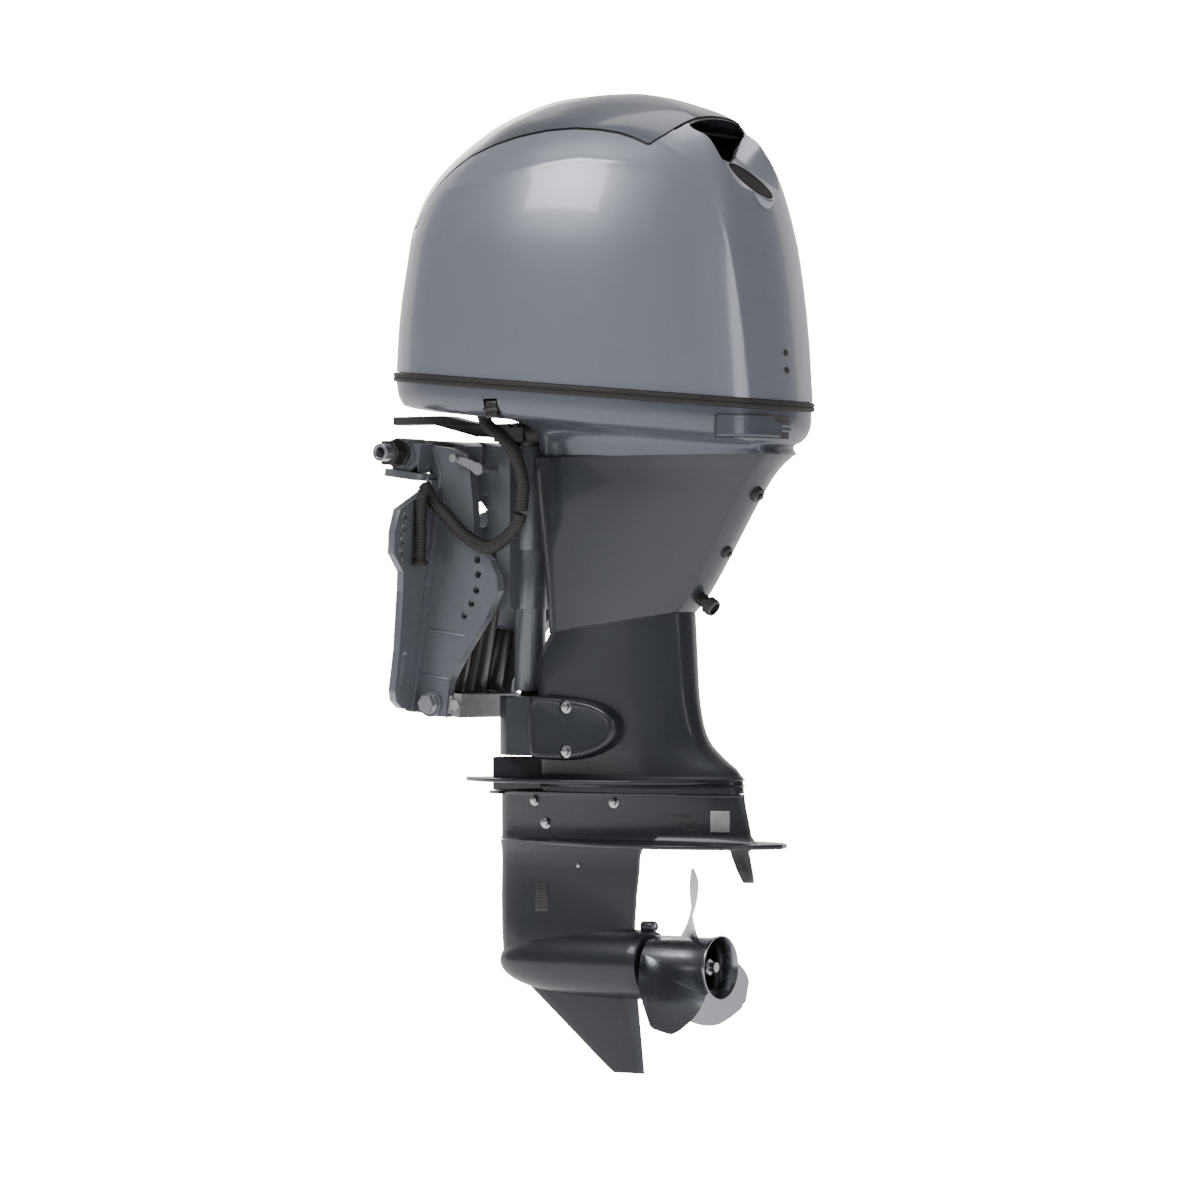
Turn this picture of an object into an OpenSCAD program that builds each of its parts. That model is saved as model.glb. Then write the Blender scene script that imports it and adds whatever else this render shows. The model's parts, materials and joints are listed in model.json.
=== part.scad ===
// Outboard motor, long-shaft, four-stroke, about 50 hp, hung on a boat's transom.
// Origin: centre of the tilt tube. +X points aft, +Y to starboard, +Z up, with the drive shaft upright.

/* [Drive line] */
// Distance from the tilt axis back to the steering axis
steer_x = 143.5; // [138:0.5:150]
// Distance from the tilt axis back to the crankshaft and drive shaft
drive_x = 226; // [222:1:230]
// Height of the propeller shaft, measured from the tilt axis
prop_z = -737; // [-741:1:-733]
// Teeth on the pinion
pinion_teeth = 13; // [13]
// Teeth on the forward and reverse gears
gear_teeth = 24; // [24]
// Pitch radius of the forward and reverse gears
gear_r = 36; // [34:0.5:37]

/* [Propeller] */
// Radius of the propeller at the blade tips
prop_r = 140; // [130:1:144]
// Pitch of the blades, the advance in one turn
prop_pitch = 330; // [280:5:380]
// Number of blades
blade_count = 3; // [3]
// Outer radius of the propeller hub
hub_r = 43; // [41:0.5:45]

/* [Transom clamp] */
// Angle of the transom face to the drive shaft, in degrees
transom_angle = 8; // [6:0.5:10]
// Distance between the port and starboard rows of upper mounting holes
upper_hole_span = 327; // [320:1:330]
// Distance between the two lower mounting slots
lower_slot_span = 250.8; // [245:0.1:255]
// Diameter of the mounting holes and width of the slots
mount_hole_d = 13; // [12.5:0.5:14]
// Vertical step between the upper mounting holes
hole_step = 18; // [17:0.5:20]
// Outside radius of the tilt tube
tilt_tube_r = 12.7; // [12:0.1:13]
// Bore radius of the tilt tube, which takes the steering cable's ram
tilt_bore_r = 8.1; // [7.9:0.1:8.4]
// Length of the tilt tube
tilt_tube_l = 350; // [346:1:352]

/* [Cowling] */
// Half width of the cowling at its widest
cowl_b = 190; // [186:1:194]
// Wall thickness of the cowling
cowl_wall = 4; // [3.5:0.5:4.5]
// Height of the top of the cowling above the tilt axis
cowl_top = 514; // [510:1:518]

/* [Hidden] */
$fn = 48;
fine = 96;
coarse = 24;
grey = [0.30, 0.32, 0.35];
dark = [0.10, 0.10, 0.11];
steel = [0.72, 0.73, 0.75];
zinc = [0.60, 0.61, 0.62];
alloy = [0.62, 0.64, 0.66];
rubber = [0.05, 0.05, 0.05];

// ---------- shared shapes ----------

// A point of a Catmull-Rom spline through p, at s from 0 to len(p) - 1.
function at(p, i) = p[min(max(i, 0), len(p) - 1)];
function spline(p, s) = let (i = min(floor(s), len(p) - 2), f = s - i,
    a = at(p, i - 1), b = at(p, i), c = at(p, i + 1), d = at(p, i + 2))
    0.5 * (2 * b + (c - a) * f + (2 * a - 5 * b + 4 * c - d) * f * f
    + (3 * b - a - 3 * c + d) * f * f * f);

// One closed ring of 2n points from half a plan, given as [share of length, share of half width].
// A section is [front x, rear x, half width, front z, rear z].
function ring(plan, section, n, inset = 0) = let (
    m = len(plan) - 1,
    half = [for (i = [0:n]) spline(plan, m * i / n)],
    both = concat(half, [for (i = [n - 1:-1:1]) [half[i][0], -half[i][1]]]),
    xf = section[0] + inset, xr = section[1] - inset, b = section[2] - inset)
    [for (p = both) [xf + (xr - xf) * p[0], b * p[1],
        section[3] + (section[4] - section[3]) * p[0]]];

function flat(rings) = [for (r = rings) each r];
function band(first, second, n) = [for (i = [0:n - 1])
    [first + i, second + i, second + (i + 1) % n, first + (i + 1) % n]];
function turn_over(t) = [t[2], t[1], t[0]];
// Flat-sided strips that close a ring whose two halves mirror each other.
function strips(n) = let (m = n / 2) [for (i = [0:m - 1])
    for (t = i == 0 ? [[0, 1, n - 1]] : i == m - 1 ? [[i, m, m + 1]]
        : [[i, i + 1, n - i - 1], [i, n - i - 1, n - i]]) t];
function disc(first, n, up) = [for (t = strips(n)) let (q = t + [first, first, first]) up ? q : turn_over(q)];

// A closed solid through a stack of rings, listed from the top ring down.
module loft(rings) {
    n = len(rings[0]);
    polyhedron(points = flat(rings), faces = concat(
        disc(0, n, true),
        [for (k = [0:len(rings) - 2]) each band(k * n, (k + 1) * n, n)],
        disc((len(rings) - 1) * n, n, false)), convexity = 8);
}

// A wall between an outer and an inner stack of rings. It is open at the bottom, and at the top too
// when through is true.
module wall(outer, inner, through = false) {
    n = len(outer[0]);
    k = len(outer);
    first_in = k * n;
    last_in = first_in + (len(inner) - 1) * n;
    polyhedron(points = concat(flat(outer), flat(inner)), faces = concat(
        [for (i = [0:k - 2]) each band(i * n, (i + 1) * n, n)],
        [for (i = [0:len(inner) - 2]) for (q = band(first_in + i * n, first_in + (i + 1) * n, n))
            [q[3], q[2], q[1], q[0]]],
        band((k - 1) * n, last_in, n),
        through ? band(first_in, 0, n) : concat(disc(0, n, true), disc(first_in, n, false))),
        convexity = 8);
}

module along_x(x, y, z) { translate([x, y, z]) rotate([0, 90, 0]) children(); }
module along_y(x, y, z) { translate([x, y, z]) rotate([-90, 0, 0]) children(); }
module rod_y(x, z, y0, y1, r) { along_y(x, y0, z) cylinder(r = r, h = y1 - y0); }
module box(lo, hi) { translate(lo) cube(hi - lo); }
module rod_between(a, b, r) {
    d = b - a;
    translate(a) rotate([0, acos(d[2] / norm(d)), atan2(d[1], d[0])]) cylinder(r = r, h = norm(d));
}
module hex(r, h) { cylinder(r = r, h = h, $fn = 6); }
module mirror_y() { children(); mirror([0, 1, 0]) children(); }
module in_transom_frame() { rotate([0, transom_angle, 0]) children(); }

// ---------- cowling sections ----------

// Half the cowling's plan: nose, flank, rear corner, rear face.
cowl_plan = [[0, 0], [0.02, 0.39], [0.08, 0.68], [0.185, 0.87], [0.33, 0.97], [0.48, 1], [0.66, 0.94],
    [0.82, 0.79], [0.93, 0.60], [0.982, 0.41], [1, 0]];
// Cowling sections from the seal up: front x, rear x, half width, front z, rear z.
cowl_levels = [
    [-50, 587, cowl_b, 122, 66], [-43, 579, cowl_b, 200, 165], [-30, 567, cowl_b - 4, 278, 258],
    [-20, 557, cowl_b - 11, 329, 316], [4, 542, cowl_b - 24, 381, 373], [44, 522, cowl_b - 40, 423, 417],
    [95, 493, cowl_b - 64, 460, 456], [134, 458, cowl_b - 90, 482, 480], [195, 391, cowl_b - 128, 504, 503],
    [258, 347, cowl_b - 162, cowl_top - 2, cowl_top - 2]];
cowl_n = 22;
// How far the inner skin sits under each level of the outer one.
skin_drop = [0, 0, 0, 0, 1, 2, 3, 4, 4, 4];
// Lower edge of the top cover, seen from the side.
seam = [[-60, 312], [-20, 315], [35, 330], [40, 353], [54, 369], [72, 389], [99, 409], [129, 426], [171, 440],
    [214, 450], [263, 456], [308, 457], [349, 453], [381, 447], [405, 439], [429, 428], [447, 445], [461, 461]];
seam_gap = 3;
cover_end = 471;
// Air intake under the rear edge of the top cover: half width and height of its corners.
intake_mouth = [[-24, 415], [24, 415], [73, 456], [73, 482], [-73, 482], [-73, 456]];
badge_at = [524, 0, 380];
badge_tilt = 39;

function cowl_ring(level, inset, drop = 0) = let (s = cowl_levels[level])
    ring(cowl_plan, [s[0], s[1], s[2], s[3] - drop, s[4] - drop], cowl_n, inset);

module cowl_shell() {
    top = len(cowl_levels) - 1;
    wall([for (k = [top:-1:0]) cowl_ring(k, 0)],
        [for (k = [top:-1:0]) cowl_ring(k, cowl_wall, skin_drop[k])]);
}
// Everything above the seam, lifted by rise.
module above_seam(rise) {
    rotate([90, 0, 0]) translate([0, 0, -250]) linear_extrude(500)
        polygon(concat([for (p = seam) [p[0], p[1] + rise]],
            [[cover_end - rise, 470], [cover_end - rise, 600], [-60, 600]]));
}
module on_badge_plane() { translate(badge_at) rotate([0, badge_tilt, 0]) children(); }
module oval(a, b, h) { linear_extrude(h) scale([1, b / a]) circle(a); }

module top_cowl() {
    color(grey) difference() {
        cowl_shell();
        above_seam(-seam_gap);
        translate([cover_end, 0, 0]) rotate([90, 0, 90]) linear_extrude(90) polygon(intake_mouth);
        on_badge_plane() translate([0, 0, -4.2]) oval(42.5, 27.5, 64);
    }
}
module top_cover() {
    color(grey) intersection() {
        cowl_shell();
        above_seam(0);
    }
}
// Duct behind the air intake, open to the rear.
duct_plan = [[404, 80], [444, 76], [462, 62], [480, 40], [480, -40], [462, -62], [444, -76], [404, -80]];
module intake_duct() {
    color(dark) intersection() {
        translate([0, 0, 400]) linear_extrude(60) polygon(duct_plan);
        difference() {
            translate([404, 0, 0]) rotate([90, 0, 90]) linear_extrude(76)
                polygon([[-28, 408], [28, 408], [78, 450], [-78, 450]]);
            translate([408, 0, 0]) rotate([90, 0, 90]) linear_extrude(90)
                polygon([[-24, 412], [24, 412], [68, 446], [-68, 446]]);
        }
    }
}
// Oval blank badge on the rear slope of the cowling.
module intake_badge() { color(dark) on_badge_plane() translate([0, 0, -4]) oval(42, 27, 5); }

// Two screws on the rear face of the cowling.
module cowl_screws() {
    color(dark) for (z = [109, 134]) along_x(cowl_screw_x(z), 0, z) cylinder(r = 5, h = 3.5);
}
function cowl_screw_x(z) = 587.3 - (z - 66) * 8 / 99;

// Sections of the bottom cowl from the seal down to the seam with the apron.
pan_levels = [[-50, 587, cowl_b, 108, 52], [-47, 587, cowl_b - 3, 84, 28], [-36, 578, cowl_b - 18, 66, 10],
    [171, 574, 100, 50, 3], [180, 586, 88, -9, -9]];
pan_rise = [0, 0, 3, 5, 0];
seam_z = -9;

module bottom_cowl() {
    outer = [for (s = pan_levels) ring(cowl_plan, s, cowl_n)];
    inner = [for (k = [0:len(pan_levels) - 1]) let (s = pan_levels[k])
        ring(cowl_plan, [s[0], s[1], s[2], s[3] + pan_rise[k], s[4] + pan_rise[k]], cowl_n, cowl_wall + 1)];
    color(grey) difference() {
        wall(outer, inner, through = true);
        translate(switch_at) cube([26, 30, 30], center = true);
        // holes for the upper mounts and for the harness
        mirror_y() along_x(150, mount_y, mount_z) cylinder(r = mount_r + 0.5, h = 70);
        translate([134, -106, 30]) cylinder(r = 13, h = 50);
    }
}

// Rubber seal between the cowls, which shows as the dark band.
module cowl_seal() {
    outer = [for (dz = [-0.3, -13.9]) ring(cowl_plan, [-54, 591, cowl_b + 4, 122 + dz, 66 + dz], cowl_n)];
    inner = [for (dz = [-0.3, -13.9]) ring(cowl_plan, [-54, 591, cowl_b + 4, 122 + dz, 66 + dz], cowl_n, 12)];
    color(rubber) wall(outer, inner, through = true);
}

// Latch lever on the port rear corner, a strip that follows the cowl's plan.
lever_top = 44;
lever_h = 30;
lever_from = 7.95;
lever_to = 10;
function lever_edge(offset) = [for (i = [0:8]) let (
    p = spline(cowl_plan, lever_from + (lever_to - lever_from) * i / 8))
    [-50 - offset + (637 + 2 * offset) * p[0], -(cowl_b + offset) * p[1]]];
module cowl_latch_lever() {
    color(grey) translate([0, 0, lever_top - lever_h]) linear_extrude(lever_h)
        polygon(concat(lever_edge(0.5), [for (i = [8:-1:0]) lever_edge(4)[i]]));
    color(grey) translate([589.2, 0, lever_top - lever_h]) cylinder(r = 1.7, h = lever_h, $fn = coarse);
}

// Tilt switch, a rocker in the port wall of the bottom cowl.
switch_at = [203, -184, 57];
module tilt_switch() {
    color(dark) translate(switch_at) {
        translate([0, 3.5, 0]) cube([20, 9, 25], center = true);
        rotate([0, 90, 0]) cylinder(r = 3, h = 24.6, center = true);
    }
}

// ---------- leg ----------

// Half the plan of the leg's upper castings: blunt front, full flank, narrow rear face.
leg_plan = [[0, 0], [0.006, 0.42], [0.045, 0.74], [0.16, 0.93], [0.36, 1], [0.6, 0.93], [0.82, 0.72],
    [0.95, 0.46], [0.985, 0.3], [1, 0]];
leg_n = 18;
apron_levels = [[180, 586, 88, seam_z, seam_z], [182, 558, 86, -30, -30], [185, 531, 84, -67, -67],
    [191, 497, 78, -123, -123], [197, 448, 69, -203, -203], [200, 421, 63, -262, -231]];
case_levels = [[209, 520, 68, 12, 12], [206, 466, 62, -123, -123], [207, 410, 55, -262.9, -232.1],
    [200, 421, 62, -263.5, -232.5], [176, 426, 60, -300, -300], [176, 430, 57, -360, -360],
    [176, 443, 53, -412, -412], [176, 474, 49, -440, -440], [176, 506, 47, -461, -461],
    [176, 509, 46, -489.5, -489.5]];

module apron() {
    color(grey) difference() {
        wall([for (s = apron_levels) ring(leg_plan, s, leg_n)],
            [for (s = apron_levels) ring(leg_plan, s, leg_n, 5)], through = true);
        for (f = rear_fittings) on_rear_face(f[0]) translate([0, 0, -12]) cylinder(r = f[1] + 0.2, h = 30);
    }
}

module upper_case() {
    color(grey) difference() {
        union() {
            loft([for (s = case_levels) ring(leg_plan, s, leg_n)]);
            splash_plate();
            box([97, -24, -489.5], [240, 24, -441]);
            translate([97, 0, -489.5]) scale([0.45, 1, 1]) cylinder(r = 24, h = 48.5);
        }
        loft([for (s = case_levels) let (low = s[4] < -450 ? 30 : 0)
            ring(leg_plan, [s[0] - 2, s[1] - low, s[2], s[3] + (s[3] > 0 ? 2 : 0), s[4] + (s[4] > 0 ? 2 : 0)],
                leg_n, 7)]);
        box([250, -30, -495], [400, 30, -470]);
        // pockets for the lower mounts and their covers
        mirror_y() along_y(0, 36, 0) linear_extrude(60) offset(delta = 0.4)
            polygon([for (p = cover_outline) [p[0], -p[1]]]);
    }
}

// Splash plate round the bottom of the upper case.
splash_plan = [[0, 0], [0.06, 0.28], [0.2, 0.72], [0.4, 1], [0.62, 0.98], [0.85, 0.72], [1, 0.3]];
function plate_outline(plan, x0, x1, b, n = 24) = let (
    half = [for (i = [0:n]) let (p = spline(plan, (len(plan) - 1) * i / n)) [x0 + (x1 - x0) * p[0], b * p[1]]])
    concat(half, [for (i = [n:-1:1]) [half[i][0], -half[i][1]]]);
module splash_plate() {
    translate([0, 0, -477]) linear_extrude(6) polygon(plate_outline(splash_plan, 29, 468, 96));
}

// Lower unit: strut, bullet, skeg and the anti-ventilation plate.
strut_plan = [[0, 0], [0.015, 0.3], [0.08, 0.62], [0.22, 0.9], [0.42, 1], [0.65, 0.86], [0.85, 0.5], [1, 0.12]];
strut_levels = [[96, 335, 27, -566, -566], [95, 328, 27, -640, -640], [96, 325, 29, -680, -680],
    [100, 325, 30, -737, -737]];
neck_levels = [[97, 509, 46, -490, -490], [96, 518, 40, -530, -530], [96, 524, 36, -567, -567]];
av_plan = [[0, 0], [0.04, 0.2], [0.18, 0.5], [0.4, 0.86], [0.62, 1], [0.82, 0.86], [0.94, 0.5], [1, 0]];
bullet = [[94, 0], [97, 10], [106, 20], [122, 29], [150, 38], [190, 45.5], [235, 48.5], [290, 50], [357, 50]];
skeg_outline = [[108, -745], [290, -893], [343, -895], [327, -760]];
gear_bore_r = 39.5;

module bullet_body(shrink = 0) {
    along_x(0, 0, prop_z) rotate_extrude($fn = 40)
        polygon(concat([for (p = bullet) [max(p[1] - shrink, 0), p[0]]], [[0, bullet[len(bullet) - 1][0]]]));
}

module skeg() {
    along_y(0, -5, 0) linear_extrude(10) polygon([for (p = skeg_outline) [p[0], -p[1]]]);
}

module lower_case() {
    color(grey) difference() {
        union() {
            bullet_body();
            loft([for (s = strut_levels) ring(strut_plan, s, 16)]);
            loft([for (s = neck_levels) ring(strut_plan, s, 16)]);
            translate([0, 0, -567]) linear_extrude(7) polygon(plate_outline(av_plan, 150, 577, 104));
            translate([0, 0, -495]) linear_extrude(4.5)
                polygon([[70, 0], [92, 20], [112, 34], [112, -34], [92, -20]]);
            skeg();
            along_x(340, 0, prop_z + 55) cylinder(r = 8, h = 22, $fn = coarse);
        }
        // gear chamber, open aft for the bearing carrier
        along_x(178, 0, prop_z) cylinder(r = 25, h = 40, $fn = coarse);
        along_x(198, 0, prop_z) cylinder(r = gear_bore_r, h = 200);
        translate([drive_x, 0, prop_z]) cylinder(r = 24, h = 60, $fn = coarse);
        translate([drive_x, 0, prop_z]) cylinder(r = 15, h = 260, $fn = coarse);
        // exhaust passage and cooling water passage
        box([262, -10, -700], [292, 10, -480]);
        box([140, -6, -650], [165, 6, -480]);
        mirror_y() {
            anodes(0.2);
            screens(0.2);
            case_bolts(0.2);
        }
    }
}

// Screens over the cooling water inlets, anodes, plugs and case bolts. The lower case has
// pockets for them, larger by grow.
anode_plan = [[468, 13], [468, 20.5], [496, 13.5], [496, 7]];
function grown(lo, hi, grow) = [lo - [grow, grow, grow], hi + [grow, grow, grow]];
module anodes(grow = 0) {
    translate([0, 0, -545 - grow]) linear_extrude(32 + 2 * grow) offset(delta = grow) polygon(anode_plan);
}
module screens(grow = 0) {
    g = grown([172, 24, -664], [194, 29.5, -622], grow);
    box(g[0], g[1]);
}
module case_bolts(grow = 0) {
    along_y(178, 34 - grow, -502) cylinder(r = 6 + grow, h = 10 + grow, $fn = coarse);
    along_y(318, 36 - grow, -503) cylinder(r = 6 + grow, h = 10 + grow, $fn = coarse);
    along_y(196, 32 - grow, -534) cylinder(r = 6.5 + grow, h = 8 + grow, $fn = coarse);
    along_y(245, 20 - grow, -596) cylinder(r = 3 + grow, h = 6 + grow, $fn = coarse);
}
module lower_case_fittings() {
    mirror_y() {
        color(zinc) anodes();
        color(dark) screens();
        color(steel) case_bolts();
    }
}

// Carrier that holds the propeller shaft's bearing in the open end of the bullet.
module bearing_carrier() {
    color(dark) along_x(296, 0, prop_z) difference() {
        union() {
            cylinder(r = gear_bore_r - 0.1, h = 14);
            cylinder(r = 30, h = 62);
            translate([0, 0, 52]) cylinder(r = gear_bore_r - 0.1, h = 8);
        }
        translate([0, 0, -1]) cylinder(r = 8.55, h = 70);
        translate([0, 0, 20]) difference() {
            cylinder(r = 26, h = 30);
            cylinder(r = 13, h = 30);
        }
    }
}

module trim_tab() {
    color(dark) {
        translate([506, 0, -571.5]) cylinder(r = 15, h = 4);
        along_y(0, -4.5, 0) linear_extrude(9)
            polygon([[490, 571.4], [520, 571.4], [530, 616], [510, 616]]);
    }
}

// ---------- drive line ----------

pinion_r = gear_r * pinion_teeth / gear_teeth;
cone = sqrt(gear_r * gear_r + pinion_r * pinion_r);
tooth_l = 11;
tooth_half = 1.3;
tooth_tip = 0.7;
tooth_h = 1.7;

// Teeth on a pitch cone whose apex is the origin and whose axis is Z. The large end has radius r at z = -h.
module bevel_teeth(count, r, h, turn = 0) {
    for (i = [0:count - 1]) rotate([0, 0, turn + i * 360 / count])
        translate([r, 0, -h]) rotate([0, -atan(r / h), 0]) linear_extrude(tooth_l)
            polygon([[-2.2, -tooth_half - 0.3], [tooth_h, -tooth_tip], [tooth_h, tooth_tip],
                [-2.2, tooth_half + 0.3]]);
}
module bevel_blank(r, h, back, bore) {
    small = (cone - tooth_l) / cone;
    cut = tooth_h + 0.2;
    n = sqrt(r * r + h * h);
    difference() {
        rotate_extrude($fn = fine) polygon([[bore, -h * small - cut * r / n],
            [r * small - cut * h / n, -h * small - cut * r / n],
            [r - cut * h / n, -h - cut * r / n], [r - cut * h / n, -h - back], [bore, -h - back]]);
    }
}

// The forward gear turns on a bearing in the nose of the gear chamber.
module gear_set_forward() {
    color(steel) translate([drive_x, 0, prop_z]) rotate([0, 90, 0]) {
        bevel_blank(gear_r, pinion_r, 7, 12);
        bevel_teeth(gear_teeth, gear_r, pinion_r, 180 / gear_teeth);
        translate([0, 0, -pinion_r - 20]) difference() {
            cylinder(r = 22, h = 14);
            translate([0, 0, -1]) cylinder(r = 12, h = 16);
        }
    }
}
module gear_set_reverse() {
    color(steel) translate([drive_x, 0, prop_z]) rotate([0, -90, 0]) {
        bevel_blank(gear_r, pinion_r, 7, 12);
        bevel_teeth(gear_teeth, gear_r, pinion_r, 0);
        translate([0, 0, -pinion_r - 20]) difference() {
            cylinder(r = 22, h = 14);
            translate([0, 0, -1]) cylinder(r = 12, h = 16);
        }
    }
}

// Drive shaft from the crankshaft's splines down to the pinion.
module drive_shaft() {
    color(steel) {
        translate([drive_x, 0, prop_z + gear_r - 6]) cylinder(r = 9.5, h = 56 - prop_z - gear_r);
        translate([drive_x, 0, prop_z]) mirror([0, 0, 1]) {
            bevel_blank(pinion_r, gear_r, 8, 4);
            bevel_teeth(pinion_teeth, pinion_r, gear_r, 180);
        }
        translate([drive_x, 0, -468]) cylinder(r = 17, h = 12);
    }
}

// Water pump housing on top of the lower unit, round the drive shaft.
module water_pump() {
    color(dark) difference() {
        union() {
            translate([drive_x, 0, -490]) cylinder(r = 34, h = 6);
            translate([drive_x, 0, -484]) cylinder(r = 27, h = 26);
            translate([drive_x, 0, -450]) cylinder(r = 16, h = 12);
            translate([drive_x, 0, -458]) cylinder(r = 27, h = 8);
        }
        translate([drive_x, 0, -470]) cylinder(r = 20, h = 16);
        translate([drive_x, 0, -500]) cylinder(r = 10.5, h = 80);
    }
}

shaft_front = 184;
module propeller_shaft() {
    color(steel) {
        along_x(shaft_front, 0, prop_z) cylinder(r = 8.5, h = 440 - shaft_front);
        along_x(372, 0, prop_z) cylinder(r = 14, h = 7);
        along_x(440, 0, prop_z) cylinder(r = 7, h = 26);
        along_x(441, 0, prop_z) cylinder(r = 13, h = 3);
        along_x(444, 0, prop_z) hex(12, 11);
        along_y(458, -15, prop_z) cylinder(r = 1.8, h = 30, $fn = coarse);
    }
}

// Clutch dog between the gears, free to slide on the propeller shaft.
module clutch_dog() {
    color(steel) along_x(drive_x - 6, 0, prop_z) difference() {
        union() {
            cylinder(r = 14, h = 12);
            for (a = [0:120:359]) rotate([0, 0, a]) translate([8.7, -2.5, -2.5]) cube([2.8, 5, 17]);
        }
        translate([0, 0, -4]) cylinder(r = 8.6, h = 20);
    }
}

// One blade: rings of points from root to tip on a helix.
blade_steps = 9;
blade_root_r = 40;
function blade_ring(s) = let (
    r = blade_root_r + (prop_r - blade_root_r) * s,
    chord = 118 * sqrt(max(1 - pow(s * 1.06 - 0.32, 2) * 1.75, 0.02)) * (s > 0.85 ? 1 - (s - 0.85) * 3.4 : 1),
    pitch_angle = atan(prop_pitch / (2 * PI * r)),
    rake = 18 * s, skew = 10 * s * s, thick = 3.4 - 2.2 * s)
    [for (e = concat([for (i = [0:8]) [i / 8 - 0.5, 1]], [for (i = [7:-1:1]) [i / 8 - 0.5, -1]]))
        let (c = chord * e[0], t = thick * e[1] * (1 - pow(2 * e[0], 2)) + 0.01 * e[1],
            x = c * sin(pitch_angle) - t * cos(pitch_angle) + rake,
            w = (c * cos(pitch_angle) + t * sin(pitch_angle)) / r * 180 / PI + skew)
        [x, r * sin(-w), r * cos(w)]];
hub_x0 = 362;
hub_x1 = 474;
blade_x = 414;

module propeller() {
    color(steel) {
        along_x(hub_x0, 0, prop_z) rotate_extrude($fn = 60) polygon([[hub_r - 5, 0], [hub_r, 0],
            [hub_r - 1, 84], [hub_r + 3, hub_x1 - hub_x0], [hub_r + 0.5, hub_x1 - hub_x0], [hub_r - 5, 84]]);
        along_x(hub_x0 + 18, 0, prop_z) difference() {
            cylinder(r = 21, h = 58);
            translate([0, 0, -1]) cylinder(r = 9.2, h = 60);
        }
        for (a = [0:120:359]) translate([hub_x0 + 20, 0, prop_z]) rotate([a + 20, 0, 0])
            box([0, -3, 19], [54, 3, hub_r - 3]);
        for (a = [0:blade_count - 1]) translate([blade_x, 0, prop_z]) rotate([a * 360 / blade_count - 6, 0, 0])
            loft([for (k = [0:blade_steps]) blade_ring(k / blade_steps)]);
    }
}

// ---------- transom clamp ----------

// Side plate outline in the transom's frame: [distance aft of the tilt axis, height].
plate_y = 72;
plate_t = 16;
clamp_outline = [[-16, 17], [77, 15], [93, 11], [101, -15], [113, -59], [124, -117], [154, -135], [170, -160],
    [174, -178], [158, -221], [133, -266], [116, -300], [107, -320], [107, -372], [69, -372], [40, -372],
    [40, -34], [-16, -34]];
flange_outline = [[72, -33], [120, -33], [124, -51], [178, -78], [184, -110], [180, -142], [152, -168],
    [148, -196], [140, -283], [140, -342], [134, -357], [116, -368], [72, -372]];
flange_t = 12;
face_x = 38;
// Height of the first upper hole and of the lower slot, along the transom.
upper_hole_z = -86;
slot_z = -309;
slot_l = 50;
// Holes for the tilt stop pin, along the rear edge of the side plate.
pin_holes = [[132, -138], [136, -159], [136, -182], [130, -202], [120, -221]];
pivot = [80, -356];

module clamp_bracket() {
    in_transom_frame() difference() {
        union() {
            along_y(0, plate_y, 0) linear_extrude(plate_t) polygon([for (p = clamp_outline) [p[0], -p[1]]]);
            translate([face_x, 0, 0]) rotate([90, 0, 90]) linear_extrude(flange_t) polygon(flange_outline);
            // hook that rests on top of the transom
            box([-24, plate_y, -36], [face_x + 4, 124, -25]);
            box([-16, plate_y + 10, -34], [30, 118, 17]);
            rod_y(0, 0, plate_y, 128, 22);
            rod_y(pivot[0], pivot[1], plate_y, plate_y + plate_t + 4, 19);
            translate([face_x + 4, plate_y + 4, -372]) cube([14, 22, 300]);
        }
        rod_y(0, 0, 60, 140, tilt_tube_r + 0.05);
        rod_y(pivot[0], pivot[1], 60, 120, 10.05);
        for (k = [0:3]) translate([face_x - 5, upper_hole_span / 2, upper_hole_z - k * hole_step])
            rotate([0, 90, 0]) cylinder(d = mount_hole_d, h = 40);
        for (s = [-1, 1]) translate([face_x - 5, lower_slot_span / 2, slot_z + s * (slot_l - mount_hole_d) / 2])
            rotate([0, 90, 0]) cylinder(d = mount_hole_d, h = 60);
        box([face_x - 5, (lower_slot_span - mount_hole_d) / 2, slot_z - (slot_l - mount_hole_d) / 2],
            [face_x + 60, (lower_slot_span + mount_hole_d) / 2, slot_z + (slot_l - mount_hole_d) / 2]);
        for (p = pin_holes) rod_y(p[0], p[1], 60, 120, 5.5);
        // notch for the harness and openings that lighten the casting
        rod_between([34, 116, -31], [70, 121, -67], 12);
        along_y(0, 60, 0) linear_extrude(60) polygon([[8, 34], [31, 30], [28, 12]]);
        along_y(0, plate_y + 8, 0) linear_extrude(60) polygon([[-9, -5], [7, 1], [1, 10]]);
    }
}
module clamp_bracket_starboard() { color(grey) clamp_bracket(); }
module clamp_bracket_port() { color(grey) mirror([0, 1, 0]) clamp_bracket(); }

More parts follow.
